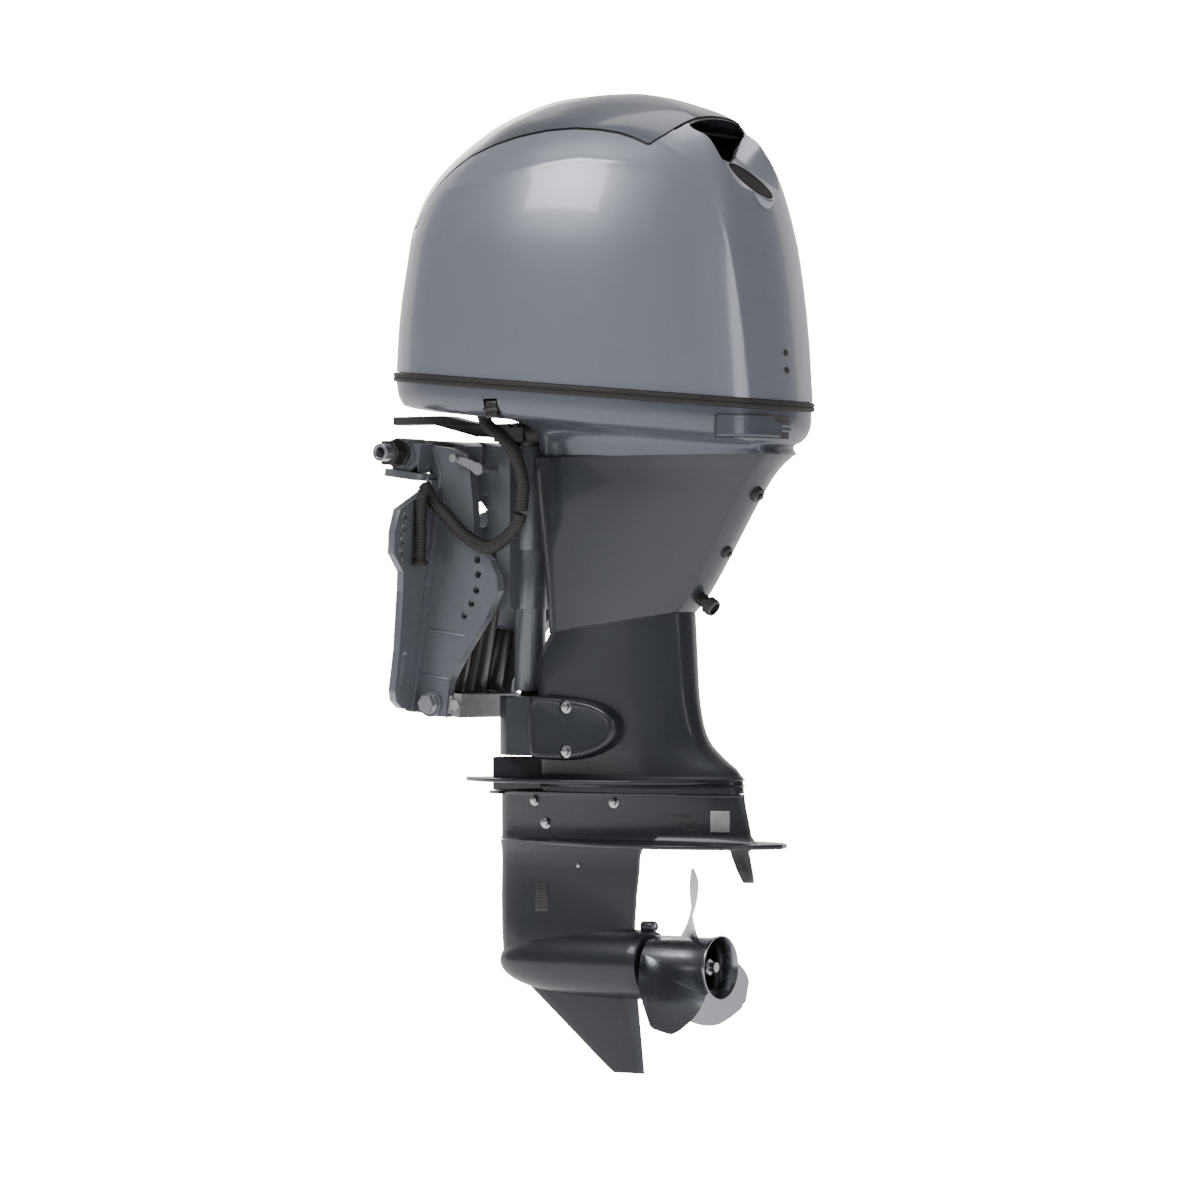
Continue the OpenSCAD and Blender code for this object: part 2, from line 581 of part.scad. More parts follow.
module tilt_tube() {
    color(steel) difference() {
        rod_y(0, 0, -tilt_tube_l / 2, tilt_tube_l / 2, tilt_tube_r);
        rod_y(0, 0, -tilt_tube_l, tilt_tube_l, tilt_bore_r);
    }
}
module tilt_tube_nuts() {
    color(steel) mirror_y() {
        difference() {
            union() {
                along_y(0, 128.3, 0) cylinder(r = 21, h = 5);
                along_y(0, 133.3, 0) hex(20, 22);
            }
            rod_y(0, 0, 110, 170, tilt_tube_r + 0.05);
        }
    }
}
module trim_pivot_shaft() {
    color(steel) in_transom_frame() {
        rod_y(pivot[0], pivot[1], -104, 104, 10);
        mirror_y() along_y(pivot[0], 92.3, pivot[1]) cylinder(r = 15, h = 3);
        mirror_y() along_y(pivot[0], 95.3, pivot[1]) hex(13.5, 9);
    }
}
module bracket_anode() {
    color(zinc) in_transom_frame() {
        box([112, -80, -370], [126, 80, -336]);
        mirror_y() box([107.3, plate_y + 2, -366], [112.5, plate_y + 12, -340]);
        mirror_y() along_y(119, 80, -353) hex(9, 6);
    }
}

// ---------- trim ram ----------

ram_pin = [86, -96];
pivot_row = [pivot[0] * cos(transom_angle) + pivot[1] * sin(transom_angle),
    -pivot[0] * sin(transom_angle) + pivot[1] * cos(transom_angle)];
ram_dir = ram_pin - pivot_row;
ram_len = norm(ram_dir);
ram_lean = atan2(ram_dir[0], ram_dir[1]);
module on_ram() { translate([pivot_row[0], 0, pivot_row[1]]) rotate([0, ram_lean, 0]) children(); }

module trim_cylinder() {
    color(dark) on_ram() difference() {
        union() {
            rod_y(0, 0, -58, 58, 18);
            translate([0, 0, 14]) cylinder(r = 25, h = ram_len - 72);
            box([-20, -30, -6], [20, 30, 22]);
        }
        rod_y(0, 0, -60, 60, 10.3);
        translate([0, 0, 26]) cylinder(r = 20.3, h = ram_len);
    }
}
module trim_motor() {
    color(dark) on_ram() {
        translate([2, 47, 22.5]) cylinder(r = 20, h = 92);
        translate([2, -48, 22.5]) cylinder(r = 21, h = 66);
        translate([2, -48, 88]) cylinder(r = 13, h = 8);
        box([-6, 25.1, 26], [6, 40, 60]);
        box([-6, -40, 26], [6, -25.1, 60]);
    }
}
module trim_rod() {
    color(steel) on_ram() {
        translate([0, 0, 32]) cylinder(r = 20, h = 14);
        translate([0, 0, 40]) cylinder(r = 9, h = ram_len - 56);
        difference() {
            rod_y(0, ram_len, -14, 14, 18);
            rod_y(0, ram_len, -15, 15, 8.05);
        }
    }
}
module trim_rod_pin() {
    color(steel) on_ram() {
        rod_y(0, ram_len, -34, 34, 8);
        mirror_y() rod_y(0, ram_len, 34, 37, 11);
    }
}

// ---------- swivel bracket ----------

swivel_top = 10;
// Slot for the rod pin: half width, and travel towards the tilt tube.
slot_r = 11.7;
slot_travel = 21.5;
// The yoke ends here, and under it nothing stands ahead of this x, where the stop pin goes across.
yoke_foot = -140;
joint_gap = 0.02;
stop_clear_x = 119.5;
swivel_foot = -345;
module swivel_bracket() {
    color(grey) difference() {
        union() {
            rod_y(0, 0, -64, 64, 21);
            box([0, -60, -16], [100, 60, swivel_top]);
            translate([steer_x, 0, -226]) cylinder(r = 27, h = 226 + swivel_top);
            box([88, -52, -140], [steer_x, 52, swivel_top]);
            box([120, -52, -226], [steer_x, 52, -140]);
            translate([steer_x, 0, swivel_foot]) cylinder(r = 23, h = 130);
            mirror_y() along_y(0, 18.5, 0) linear_extrude(13) polygon([[60, 10], [103, 10], [103, 139],
                [80, 130], [62, 100]]);
        }
        rod_y(0, 0, -70, 70, 15.05);
        rod_y(lever_pivot[0], lever_pivot[1], -60, -36, 5.05);
        translate([steer_x, 0, swivel_foot - 1]) cylinder(r = 17.05, h = 400);
        // room for the trim cylinder and the rod end
        box([20, -18.5, -240], [107, 18.5, -50]);
        box([20, -28, -240], [106, 28, -150.5]);
        // room for the stop pin, and the joint between the yoke and the tube under it
        box([20, -60, -226.1], [stop_clear_x, 60, yoke_foot]);
        box([20, -60, yoke_foot - joint_gap], [200, 60, yoke_foot]);
        box([20, -52.1, -240], [104, -31.5, -60]);
        box([20, 31.5, -240], [104, 52.1, -60]);
        // slots for the rod pin, which runs in towards the tilt tube
        mirror_y() translate([ram_pin[0], 0, ram_pin[1]]) rotate([0, -atan2(ram_pin[1], ram_pin[0]), 0]) {
            rod_y(0, 0, 15, 40, slot_r);
            rod_y(-slot_travel, 0, 15, 40, slot_r);
            box([-slot_travel, 15, -slot_r], [0, 40, slot_r]);
        }
    }
}
// Plastic bushes: four on the tilt tube and two on the steering axis.
module swivel_bushes() {
    color(dark) {
        mirror_y() difference() {
            union() {
                rod_y(0, 0, 20, 64, 15);
                rod_y(0, 0, 64.2, 71.6, 19);
            }
            rod_y(0, 0, 10, 80, tilt_tube_r + 0.05);
        }
        for (z = [swivel_foot + 2, swivel_top - 42]) translate([steer_x, 0, z]) difference() {
            cylinder(r = 17, h = 40);
            translate([0, 0, -1]) cylinder(r = 14.05, h = 42);
        }
    }
}

// Lever that holds the motor up while it is parked. It swings outside the port side plate.
lever_pivot = [118, -24];
module tilt_support_lever() {
    color(alloy) {
        rod_y(lever_pivot[0], lever_pivot[1], -98, -36.5, 5);
        rod_y(lever_pivot[0], lever_pivot[1], -98, -91, 9);
        along_y(0, -98, 0) linear_extrude(6) polygon([[116, 32], [122, 18], [104, 10], [78, 4], [76, 12], [100, 22]]);
        rod_y(80, -8, -106, -92, 6);
    }
}

// ---------- steering bracket and mounts ----------

arm_z = 22;
mount_y = 38;
mount_z = 28.5;
mount_r = 14.5;
arm_outline = [[-90, -46], [-90, -58], [0, -58], [30, -51], [70, -44], [120, -44], [120, -24], [60, -26],
    [20, -36], [-20, -46]];
module steering_bracket() {
    color(grey) {
        translate([steer_x, 0, swivel_foot - 70]) cylinder(r = 14, h = 70 + arm_z - swivel_foot);
        translate([steer_x, 0, swivel_top + 0.5]) cylinder(r = 26, h = 34);
        difference() {
            along_y(0, -18, 0) linear_extrude(36) polygon(arm_outline);
            translate([-72, 0, 40]) cylinder(r = 4.8, h = 30);
        }
        box([118, -56, arm_z - 6], [169, 56, arm_z + 14]);
    }
}
// Rubber mounts between the steering bracket and the engine, two above and two below.
module mount_tube(r, h) {
    difference() {
        cylinder(r = r, h = h);
        translate([0, 0, -1]) cylinder(r = 6, h = h + 2);
    }
}
module rubber_mounts() {
    color(rubber) mirror_y() {
        along_x(169.3, mount_y, mount_z) mount_tube(mount_r, 60);
        along_x(186.5, 49, -397) mount_tube(12.5, 96);
    }
}
module lower_yoke() {
    color(grey) difference() {
        union() {
            translate([steer_x, 0, -438]) cylinder(r = 44, h = 86);
            box([steer_x, -62, -438], [186, 62, -354]);
        }
        translate([steer_x, 0, -440]) cylinder(r = 14.05, h = 100);
        box([170, -43, -440], [190, 43, -340]);
    }
}
cover_outline = [[187, -354], [200, -351], [258, -353], [306, -362], [334, -378], [340, -396], [334, -418],
    [306, -434], [262, -445], [200, -443], [187, -438]];
module mount_cover() {
    difference() {
        along_y(0, 36.5, 0) linear_extrude(36) polygon([for (p = cover_outline) [p[0], -p[1]]]);
        box([180, 30, -424], [298, 64, -374]);
        for (z = [-367, -431]) along_y(254, 60, z) cylinder(r = 4.1, h = 20);
    }
}
module mount_cover_port() { color(grey) mirror([0, 1, 0]) mount_cover(); }
module mount_cover_starboard() { color(grey) mount_cover(); }
module mount_cover_bolts() {
    color(steel) mirror_y() for (z = [-367, -431]) {
        along_y(254, 62, z) cylinder(r = 4, h = 10.5);
        along_y(254, 72.5, z) hex(7, 4);
    }
}

// ---------- powerhead ----------

block_z0 = 62;
block_z1 = 372;
bore_r = 32.5;
bore_step = 76;
crank_bore_r = 62;
pin_x = drive_x + 122;
stroke = 75;
function cylinder_z(i) = block_z0 + 41 + i * bore_step;

guide_half = [[206, 44], [226, 56], [262, 69], [320, 76], [420, 76], [470, 66]];
guide_outline = concat(guide_half, [for (i = [5:-1:0]) [guide_half[i][0], -guide_half[i][1]]]);
module exhaust_guide() {
    color(alloy) difference() {
        translate([0, 0, 12.3]) linear_extrude(33.4) polygon(guide_outline);
        translate([drive_x, 0, 0]) cylinder(r = 16, h = 90);
        box([300, -60, 0], [440, 60, 90]);
        mirror_y() along_x(180, mount_y, mount_z) cylinder(r = mount_r + 0.3, h = 50);
    }
}
module oil_pan() {
    color(alloy) difference() {
        loft([for (s = [[262, 440, 50, 11, 11], [262, 420, 46, -110, -110], [262, 396, 40, -190, -190]])
            ring(leg_plan, s, leg_n)]);
        loft([for (s = [[266, 436, 46, 12, 12], [266, 416, 42, -110, -110], [266, 392, 36, -186, -186]])
            ring(leg_plan, s, leg_n)]);
    }
}
module cylinder_block() {
    color(alloy) difference() {
        union() {
            box([drive_x, -84, block_z0 + 0.1], [drive_x + 190, 84, block_z1]);
            for (z = [block_z0, block_z1 - 12]) box([drive_x, -96, z], [drive_x + 40, 96, z + 12]);
            translate([0, 0, block_z0 - 16]) linear_extrude(16.1) polygon(guide_outline);
        }
        translate([drive_x, 0, block_z0]) cylinder(r = crank_bore_r, h = block_z1 - block_z0 - 14);
        translate([drive_x, 0, 0]) cylinder(r = 26, h = 500);
        for (i = [0:3]) along_x(drive_x, 0, cylinder_z(i)) cylinder(r = bore_r, h = 220);
    }
}
module crankcase() {
    color(alloy) difference() {
        union() {
            box([drive_x - 50, -84, block_z0 + 0.1], [drive_x - 0.3, 84, block_z1]);
            translate([drive_x - 0.3, 0, block_z0 + 0.1]) intersection() {
                cylinder(r = 78, h = block_z1 - block_z0 - 0.1);
                box([-90, -90, 0], [0, 90, 400]);
            }
        }
        translate([drive_x, 0, block_z0 + 4]) cylinder(r = crank_bore_r, h = block_z1 - block_z0 - 18);
        translate([drive_x, 0, 0]) cylinder(r = 26, h = 500);
    }
}
module cylinder_head() {
    color(alloy) difference() {
        box([drive_x + 190.2, -78, block_z0 + 0.3], [drive_x + 262, 78, block_z1]);
        for (i = [0:3]) along_x(drive_x + 190, 0, cylinder_z(i)) cylinder(r = bore_r, h = 8);
        translate([cam_x, 0, 300]) cylinder(r = 14, h = 100);
    }
}
cam_x = drive_x + 228;
module head_cover() {
    color(dark) translate([drive_x + 262.2, 0, (block_z0 + block_z1) / 2]) rotate([0, 90, 0])
        linear_extrude(30) offset(r = 12) square([block_z1 - block_z0 - 26, 128], center = true);
}
module intake_manifold() {
    color(dark) {
        box([96, -132, 96], [236, -100.3, 350]);
        for (i = [0:3]) translate([236, -116, cylinder_z(i)]) rotate([0, 90, 0]) cylinder(r = 14, h = 196);
        for (i = [0:3]) along_y(432, -116, cylinder_z(i)) cylinder(r = 14, h = 37.8);
    }
}
module starter_motor() {
    color(dark) {
        translate([174, 122, 214]) cylinder(r = 32, h = 120);
        translate([174, 122, 334]) cylinder(r = 24, h = 24);
        translate([134, 112, 190]) cylinder(r = 14, h = 90);
    }
}
module oil_filter() {
    color(dark) along_y(300, 84.3, 120) cylinder(r = 32, h = 62);
}
module control_unit() {
    color(dark) {
        box([250, 100, 200], [400, 128, 340]);
        for (z = [230, 310]) box([262, 84.3, z - 8], [280, 100, z + 8]);
        for (z = [230, 310]) box([370, 84.3, z - 8], [388, 100, z + 8]);
    }
}
belt_z = 376;
belt_h = 14;
crank_pulley_r = 22;
cam_pulley_r = crank_pulley_r * 2;
module timing_belt() {
    color(rubber) translate([0, 0, belt_z]) linear_extrude(belt_h) difference() {
        hull() {
            translate([drive_x, 0]) circle(crank_pulley_r + 4);
            translate([cam_x, 0]) circle(cam_pulley_r + 4);
        }
        hull() {
            translate([drive_x, 0]) circle(crank_pulley_r + 0.6);
            translate([cam_x, 0]) circle(cam_pulley_r + 0.6);
        }
    }
}
module cam_pulley() {
    color(steel) difference() {
        union() {
            translate([cam_x, 0, belt_z - 1]) cylinder(r = cam_pulley_r, h = belt_h + 2);
            translate([cam_x, 0, block_z1 - 60]) cylinder(r = 12, h = 70);
            translate([cam_x, 0, belt_z + belt_h]) cylinder(r = 12, h = 3);
        }
        for (a = [0:72:359]) translate([cam_x, 0, belt_z - 5]) rotate([0, 0, a]) translate([28, 0, 0])
            cylinder(r = 8, h = 40);
    }
}
module piston(i) {
    along_x(pin_x, 0, cylinder_z(i)) difference() {
        translate([0, 0, -24]) cylinder(r = bore_r - 0.05, h = 52);
        translate([0, 0, -26]) cylinder(r = bore_r - 6, h = 44);
        for (g = [10, 15, 20]) translate([0, 0, g]) difference() {
            cylinder(r = bore_r + 1, h = 1.5);
            translate([0, 0, -1]) cylinder(r = bore_r - 1.2, h = 4);
        }
    }
    rod_y(pin_x, cylinder_z(i), 3 - bore_r, bore_r - 3, 8);
}
// The pistons stand at mid stroke, so all four share a height.
module pistons() { color(alloy) for (i = [0:3]) piston(i); }

module crankshaft() {
    color(steel) {
        translate([drive_x, 0, block_z0 - 4]) cylinder(r = 20, h = block_z1 - block_z0 + 10);
        for (i = [0:3]) let (side = (i == 0 || i == 3) ? 90 : -90) translate([drive_x, 0, cylinder_z(i)]) rotate([0, 0, side]) {
            for (w = [-24, 14]) translate([0, 0, w]) {
                cylinder(r = 30, h = 10);
                translate([-24, 0, 0]) cylinder(r = 32, h = 10);
                translate([32, 0, 0]) cylinder(r = 22, h = 10);
            }
            translate([stroke / 2, 0, -14.1]) cylinder(r = 18, h = 28.2);
        }
        translate([drive_x, 0, belt_z - 1]) cylinder(r = crank_pulley_r, h = belt_h + 2);
        translate([drive_x, 0, block_z1]) cylinder(r = 16, h = 46);
    }
}
flywheel_z = 412;
module flywheel() {
    color(steel) translate([drive_x, 0, flywheel_z]) difference() {
        union() {
            cylinder(r = 104, h = 12);
            cylinder(r = 92, h = 30);
        }
        translate([0, 0, -1]) cylinder(r = 84, h = 4);
        translate([0, 0, 24]) cylinder(r = 70, h = 10);
        translate([0, 0, -1]) cylinder(r = 16.05, h = 8);
        for (a = [0:60:359]) rotate([0, 0, a]) translate([48, 0, -1]) cylinder(r = 9, h = 40);
    }
}

// ---------- fittings and harness ----------

// Two plugs and the flushing connector on the rear of the apron.
module apron_fittings() {
    color(dark) {
        for (f = rear_fittings) on_rear_face(f[0]) {
            translate([0, 0, -4]) cylinder(r = f[1], h = 4 + f[2]);
            translate([0, 0, f[2]]) cylinder(r = f[3], h = f[4]);
        }
    }
}
// The rear face of the apron leans forward as it goes down.
face_lean = 33;
rear_face = [[-9, 586], [-30, 558], [-67, 531], [-123, 497], [-203, 448], [-231, 421]];
function rear_face_x(z) = lookup(z, rear_face);
module on_rear_face(z) { translate([rear_face_x(z), 0, z]) rotate([0, 90 + face_lean, 0]) children(); }
// Each is [height, body radius, body length, head radius, head length].
rear_fittings = [[-64, 11, 7, 5, 4], [-146, 9, 5, 4, 4], [-212, 9, 14, 13, 14]];

// Corrugated harness: down from the bottom cowl, then round in a loop to the port clamp bracket.
harness_r = 10;
upper_route = [[132, -104, 66], [134, -104, 52], [142, -104, 37], [165, -106, 23], [186, -108, 4],
    [200, -109, -22], [207, -110, -50], [203, -109, -86]];
lower_route = [[202, -109, -91], [196.5, -108.4, -104], [182, -107, -119], [159, -105, -133],
               [139, -104, -137], [116, -104, -129],
    [94, -106, -114], [74, -112, -91], [55, -120, -69], [38, -117, -47]];
// Short drain hose that hangs beside the clamp bracket's flange.
drain_r = 9;
drain_route = [[54, -142, -56], [50, -141, -74], [45, -136, -112], [40, -130, -158]];
function unit(v) = v / norm(v);
function tangent(p, i) = unit(at(p, i + 1) - at(p, i - 1));
function tube_ring(p, i, r, sides) = let (t = tangent(p, i), a = unit(cross(t, [0, 1, 0.2])), b = cross(t, a))
    [for (k = [0:sides - 1]) p[i] + r * (cos(360 * k / sides) * a + sin(360 * k / sides) * b)];
function resample(p, n) = [for (i = [0:n]) spline(p, (len(p) - 1) * i / n)];
module tube(route, rings_n, r) {
    p = resample(route, rings_n);
    loft([for (i = [0:rings_n]) tube_ring(p, i, r, 10)]);
}
module harness_upper() { color(dark) tube(upper_route, 10, harness_r); }
module harness_lower() { color(dark) tube(lower_route, 12, harness_r); }
module drain_hose() {
    color(dark) {
        tube(drain_route, 6, drain_r);
        translate([40, -130, -164]) cylinder(r = 11, h = 8);
    }
}

clamp_bracket_port();
clamp_bracket_starboard();
tilt_tube();
tilt_tube_nuts();
trim_pivot_shaft();
bracket_anode();
trim_cylinder();
trim_motor();
trim_rod();
trim_rod_pin();
swivel_bracket();
swivel_bushes();
tilt_support_lever();
steering_bracket();
lower_yoke();
rubber_mounts();
mount_cover_port();
mount_cover_starboard();
mount_cover_bolts();
upper_case();
apron();
apron_fittings();
bottom_cowl();
cowl_seal();
cowl_latch_lever();
tilt_switch();
top_cowl();
top_cover();
intake_duct();
intake_badge();
cowl_screws();
exhaust_guide();
oil_pan();
cylinder_block();
crankcase();
cylinder_head();
head_cover();
intake_manifold();
starter_motor();
oil_filter();
control_unit();
timing_belt();
cam_pulley();
pistons();
crankshaft();
flywheel();
drive_shaft();
water_pump();
lower_case();
lower_case_fittings();
bearing_carrier();
gear_set_forward();
gear_set_reverse();
propeller_shaft();
clutch_dog();
propeller();
trim_tab();
harness_upper();
harness_lower();
drain_hose();
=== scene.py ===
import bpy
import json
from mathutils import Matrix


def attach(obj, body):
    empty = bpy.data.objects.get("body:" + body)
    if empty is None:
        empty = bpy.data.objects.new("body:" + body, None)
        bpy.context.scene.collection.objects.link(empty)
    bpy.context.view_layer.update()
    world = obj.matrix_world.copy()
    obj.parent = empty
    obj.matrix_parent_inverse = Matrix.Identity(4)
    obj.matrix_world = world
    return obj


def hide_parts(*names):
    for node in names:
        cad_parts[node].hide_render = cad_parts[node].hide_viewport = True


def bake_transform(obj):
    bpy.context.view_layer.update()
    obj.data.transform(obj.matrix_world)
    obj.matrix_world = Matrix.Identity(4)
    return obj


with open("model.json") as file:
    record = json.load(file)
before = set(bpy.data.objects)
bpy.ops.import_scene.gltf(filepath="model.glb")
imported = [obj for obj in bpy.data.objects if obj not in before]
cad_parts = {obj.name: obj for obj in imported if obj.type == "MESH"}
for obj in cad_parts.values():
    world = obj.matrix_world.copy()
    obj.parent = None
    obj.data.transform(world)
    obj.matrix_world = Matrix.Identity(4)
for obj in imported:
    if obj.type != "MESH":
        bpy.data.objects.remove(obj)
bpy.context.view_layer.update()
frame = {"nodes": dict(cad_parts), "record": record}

import bpy, bmesh, json, math
from mathutils import Vector, Matrix

# Shapes are worked out in millimetres, in the frame of the CAD, and go into Blender times MM.
MM = 0.001
cos, sin, pi = math.cos, math.sin, math.pi
VIEW_MID = Vector((0.266, 0, -0.271))
VIEW_AZIMUTH = math.radians(34)
VIEW_DISTANCE = 8


# ---------- camera ----------
def make_camera():
    cam = bpy.data.cameras.new("camera")
    cam.lens = 166.3
    cam.sensor_width = 36
    cam.shift_y = 0.0333
    cam.clip_end = 100
    o = bpy.data.objects.new("camera", cam)
    bpy.context.scene.collection.objects.link(o)
    o.location = VIEW_MID + VIEW_DISTANCE * Vector((sin(VIEW_AZIMUTH), -cos(VIEW_AZIMUTH), 0))
    o.rotation_euler = (pi / 2, 0, VIEW_AZIMUTH)
    bpy.context.scene.camera = o


make_camera()


# ---------- materials ----------
def add(nt, kind, **values):
    n = nt.nodes.new(kind)
    for k, v in values.items():
        setattr(n, k, v)
    return n


def material(name, base, metallic=0.0, rough=0.4, vary=0.12, vary_scale=30, rough_vary=0.08,
             grain=900, bump=0.05, coat=0.0, edge_wear_and_highlight=None, edge_wear_and_highlight_at=0.54, flake=0.0, stretch=None):
    m = bpy.data.materials.new(name)
    m.use_nodes = True
    nt = m.node_tree
    bsdf = nt.nodes["Principled BSDF"]
    bsdf.inputs["Metallic"].default_value = metallic
    bsdf.inputs["Coat Weight"].default_value = coat
    bsdf.inputs["Coat Roughness"].default_value = 0.08
    tc = add(nt, "ShaderNodeTexCoord")
    mp = add(nt, "ShaderNodeMapping")
    if stretch:
        mp.inputs["Scale"].default_value = stretch
    nt.links.new(tc.outputs["Object"], mp.inputs["Vector"])
    big = add(nt, "ShaderNodeTexNoise")
    big.inputs["Scale"].default_value = vary_scale
    big.inputs["Detail"].default_value = 5
    fine = add(nt, "ShaderNodeTexNoise")
    fine.inputs["Scale"].default_value = grain
    fine.inputs["Detail"].default_value = 3
    for n in (big, fine):
        nt.links.new(mp.outputs[0], n.inputs["Vector"])
    ramp = add(nt, "ShaderNodeMixRGB")
    lo = [c * (1 - vary) for c in base] + [1]
    hi = [min(c * (1 + vary), 1) for c in base] + [1]
    ramp.inputs[1].default_value = lo
    ramp.inputs[2].default_value = hi
    nt.links.new(big.outputs["Fac"], ramp.inputs[0])
    colour = ramp.outputs[0]
    if flake:
        vor = add(nt, "ShaderNodeTexVoronoi")
        vor.inputs["Scale"].default_value = 2600
        nt.links.new(tc.outputs["Object"], vor.inputs["Vector"])
        fl = add(nt, "ShaderNodeMixRGB", blend_type="OVERLAY")
        fl.inputs[0].default_value = flake
        nt.links.new(colour, fl.inputs[1])
        nt.links.new(vor.outputs["Color"], fl.inputs[2])
        bw = add(nt, "ShaderNodeRGBToBW")
        nt.links.new(vor.outputs["Color"], bw.inputs[0])
        nt.links.new(bw.outputs[0], fl.inputs[2])
        colour = fl.outputs[0]
    # paler colour on sharp convex edges, patchy with the large noise: rubbed edges on most materials, and a
    # painted edge highlight on the bracket paint
    if edge_wear_and_highlight:
        geo = add(nt, "ShaderNodeNewGeometry")
        edge = add(nt, "ShaderNodeMapRange")
        edge.inputs["From Min"].default_value = edge_wear_and_highlight_at
        edge.inputs["From Max"].default_value = edge_wear_and_highlight_at + 0.08
        nt.links.new(geo.outputs["Pointiness"], edge.inputs["Value"])
        wear_and_highlight_mask = add(nt, "ShaderNodeMath", operation="MULTIPLY")
        nt.links.new(edge.outputs[0], wear_and_highlight_mask.inputs[0])
        nt.links.new(big.outputs["Fac"], wear_and_highlight_mask.inputs[1])
        mix = add(nt, "ShaderNodeMixRGB")
        nt.links.new(wear_and_highlight_mask.outputs[0], mix.inputs[0])
        nt.links.new(colour, mix.inputs[1])
        mix.inputs[2].default_value = list(edge_wear_and_highlight) + [1]
        colour = mix.outputs[0]
    nt.links.new(colour, bsdf.inputs["Base Color"])
    rr = add(nt, "ShaderNodeMapRange")
    rr.inputs["To Min"].default_value = max(rough - rough_vary, 0.03)
    rr.inputs["To Max"].default_value = min(rough + rough_vary, 1)
    nt.links.new(fine.outputs["Fac"], rr.inputs["Value"])
    nt.links.new(rr.outputs[0], bsdf.inputs["Roughness"])
    bp = add(nt, "ShaderNodeBump")
    bp.inputs["Strength"].default_value = bump
    bp.inputs["Distance"].default_value = 0.0006
    nt.links.new(fine.outputs["Fac"], bp.inputs["Height"])
    nt.links.new(bp.outputs[0], bsdf.inputs["Normal"])
    return m


MATS = {
    "cowl_paint": material("cowl_paint", (0.225, 0.237, 0.278), 0.45, 0.34, 0.04, 9, 0.05, 1400, 0.04, 0.6,
                           flake=0.12),
    "cover_paint": material("cover_paint", (0.085, 0.092, 0.113), 0.45, 0.38, 0.05, 9, 0.05, 1400, 0.05, 0.5,
                            flake=0.12),
    # the cover paint darkened to about a third: painted shade for the apron
    "leg_paint_with_painted_shade": material("leg_paint_with_painted_shade", (0.026, 0.029, 0.037), 0.3, 0.4, 0.05, 9, 0.05, 1400, 0.05, 0.4,
                          flake=0.12),
    # a dark paint, darkened a further threefold to paint the shade on the cases, mount covers and lower unit
    "casting_paint": material("casting_paint", (0.02, 0.0225, 0.029), 0.35, 0.4, 0.07, 14, 0.07, 700, 0.14, 0.3,
                              edge_wear_and_highlight=(0.1, 0.11, 0.13), flake=0.08),
    # a lighter copy of the casting paint: painted light on the clamp and swivel brackets, and its pale edge colour
    # paints edge highlights
    "bracket_paint_with_painted_light": material("bracket_paint_with_painted_light", (0.13, 0.14, 0.16), 0.35, 0.38, 0.07, 14, 0.07, 700, 0.14, 0.3,
                              edge_wear_and_highlight=(0.3, 0.32, 0.35), flake=0.08),
    "bare_alloy": material("bare_alloy", (0.36, 0.37, 0.39), 0.9, 0.42, 0.1, 40, 0.1, 900, 0.2, 0,
                           edge_wear_and_highlight=(0.75, 0.76, 0.78)),
    "steel": material("steel", (0.46, 0.47, 0.49), 1.0, 0.3, 0.08, 60, 0.09, 500, 0.06, 0,
                      stretch=(1, 1, 8)),
    "polished_steel": material("polished_steel", (0.56, 0.57, 0.59), 1.0, 0.17, 0.05, 25, 0.06, 260, 0.05, 0),
    "zinc": material("zinc", (0.30, 0.31, 0.32), 0.7, 0.58, 0.16, 70, 0.12, 420, 0.35, 0,
                     edge_wear_and_highlight=(0.7, 0.7, 0.72)),
    "black_rubber": material("black_rubber", (0.012, 0.012, 0.013), 0, 0.62, 0.2, 60, 0.1, 1200, 0.12, 0,
                             edge_wear_and_highlight=(0.05, 0.05, 0.052)),
    "black_plastic": material("black_plastic", (0.016, 0.016, 0.018), 0, 0.42, 0.15, 50, 0.08, 1600, 0.16, 0,
                              edge_wear_and_highlight=(0.06, 0.06, 0.065)),
    "badge_black": material("badge_black", (0.012, 0.012, 0.013), 0, 0.6, 0.15, 50, 0.08, 1600, 0.1, 0),
    "propeller_steel": material("propeller_steel", (0.27, 0.28, 0.3), 1.0, 0.24, 0.05, 25, 0.06, 260, 0.05, 0),
    "black_steel": material("black_steel", (0.02, 0.021, 0.023), 0.3, 0.38, 0.12, 30, 0.1, 800, 0.1, 0.2,
                            edge_wear_and_highlight=(0.2, 0.2, 0.21)),
}


# ---------- mesh helpers, all lengths in millimetres ----------
def finish_mesh(name, bm, slot, body, replaces=(), sharp=35, look=None):
    bmesh.ops.remove_doubles(bm, verts=bm.verts, dist=1e-6)
    bmesh.ops.recalc_face_normals(bm, faces=bm.faces)
    me = bpy.data.meshes.new(name)
    bm.to_mesh(me)
    bm.free()
    me.materials.append(MATS[look or slot])
    me.shade_smooth()
    me.set_sharp_from_angle(angle=math.radians(sharp))
    o = bpy.data.objects.new(name, me)
    bpy.context.scene.collection.objects.link(o)
    if replaces:
        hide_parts(*replaces)
    if body:
        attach(o, body)
    return o


def add_rings(bm, rings, loop=False, caps=True):
    """Quads between rings of points. loop joins the last ring to the first; caps closes the ends."""
    rows = [[bm.verts.new([c * MM for c in p]) for p in r] for r in rings]
    n = len(rings[0])
    pairs = list(zip(rows, rows[1:])) + ([(rows[-1], rows[0])] if loop else [])
    for a, b in pairs:
        for i in range(n):
            j = (i + 1) % n
            bm.faces.new((a[i], b[i], b[j], a[j]))
    if caps and not loop:
        for row in (rows[0], rows[-1]):
            c = bm.verts.new(sum((v.co for v in row), Vector()) / n)
            for i in range(n):
                bm.faces.new((row[i], row[(i + 1) % n], c))
    return rows


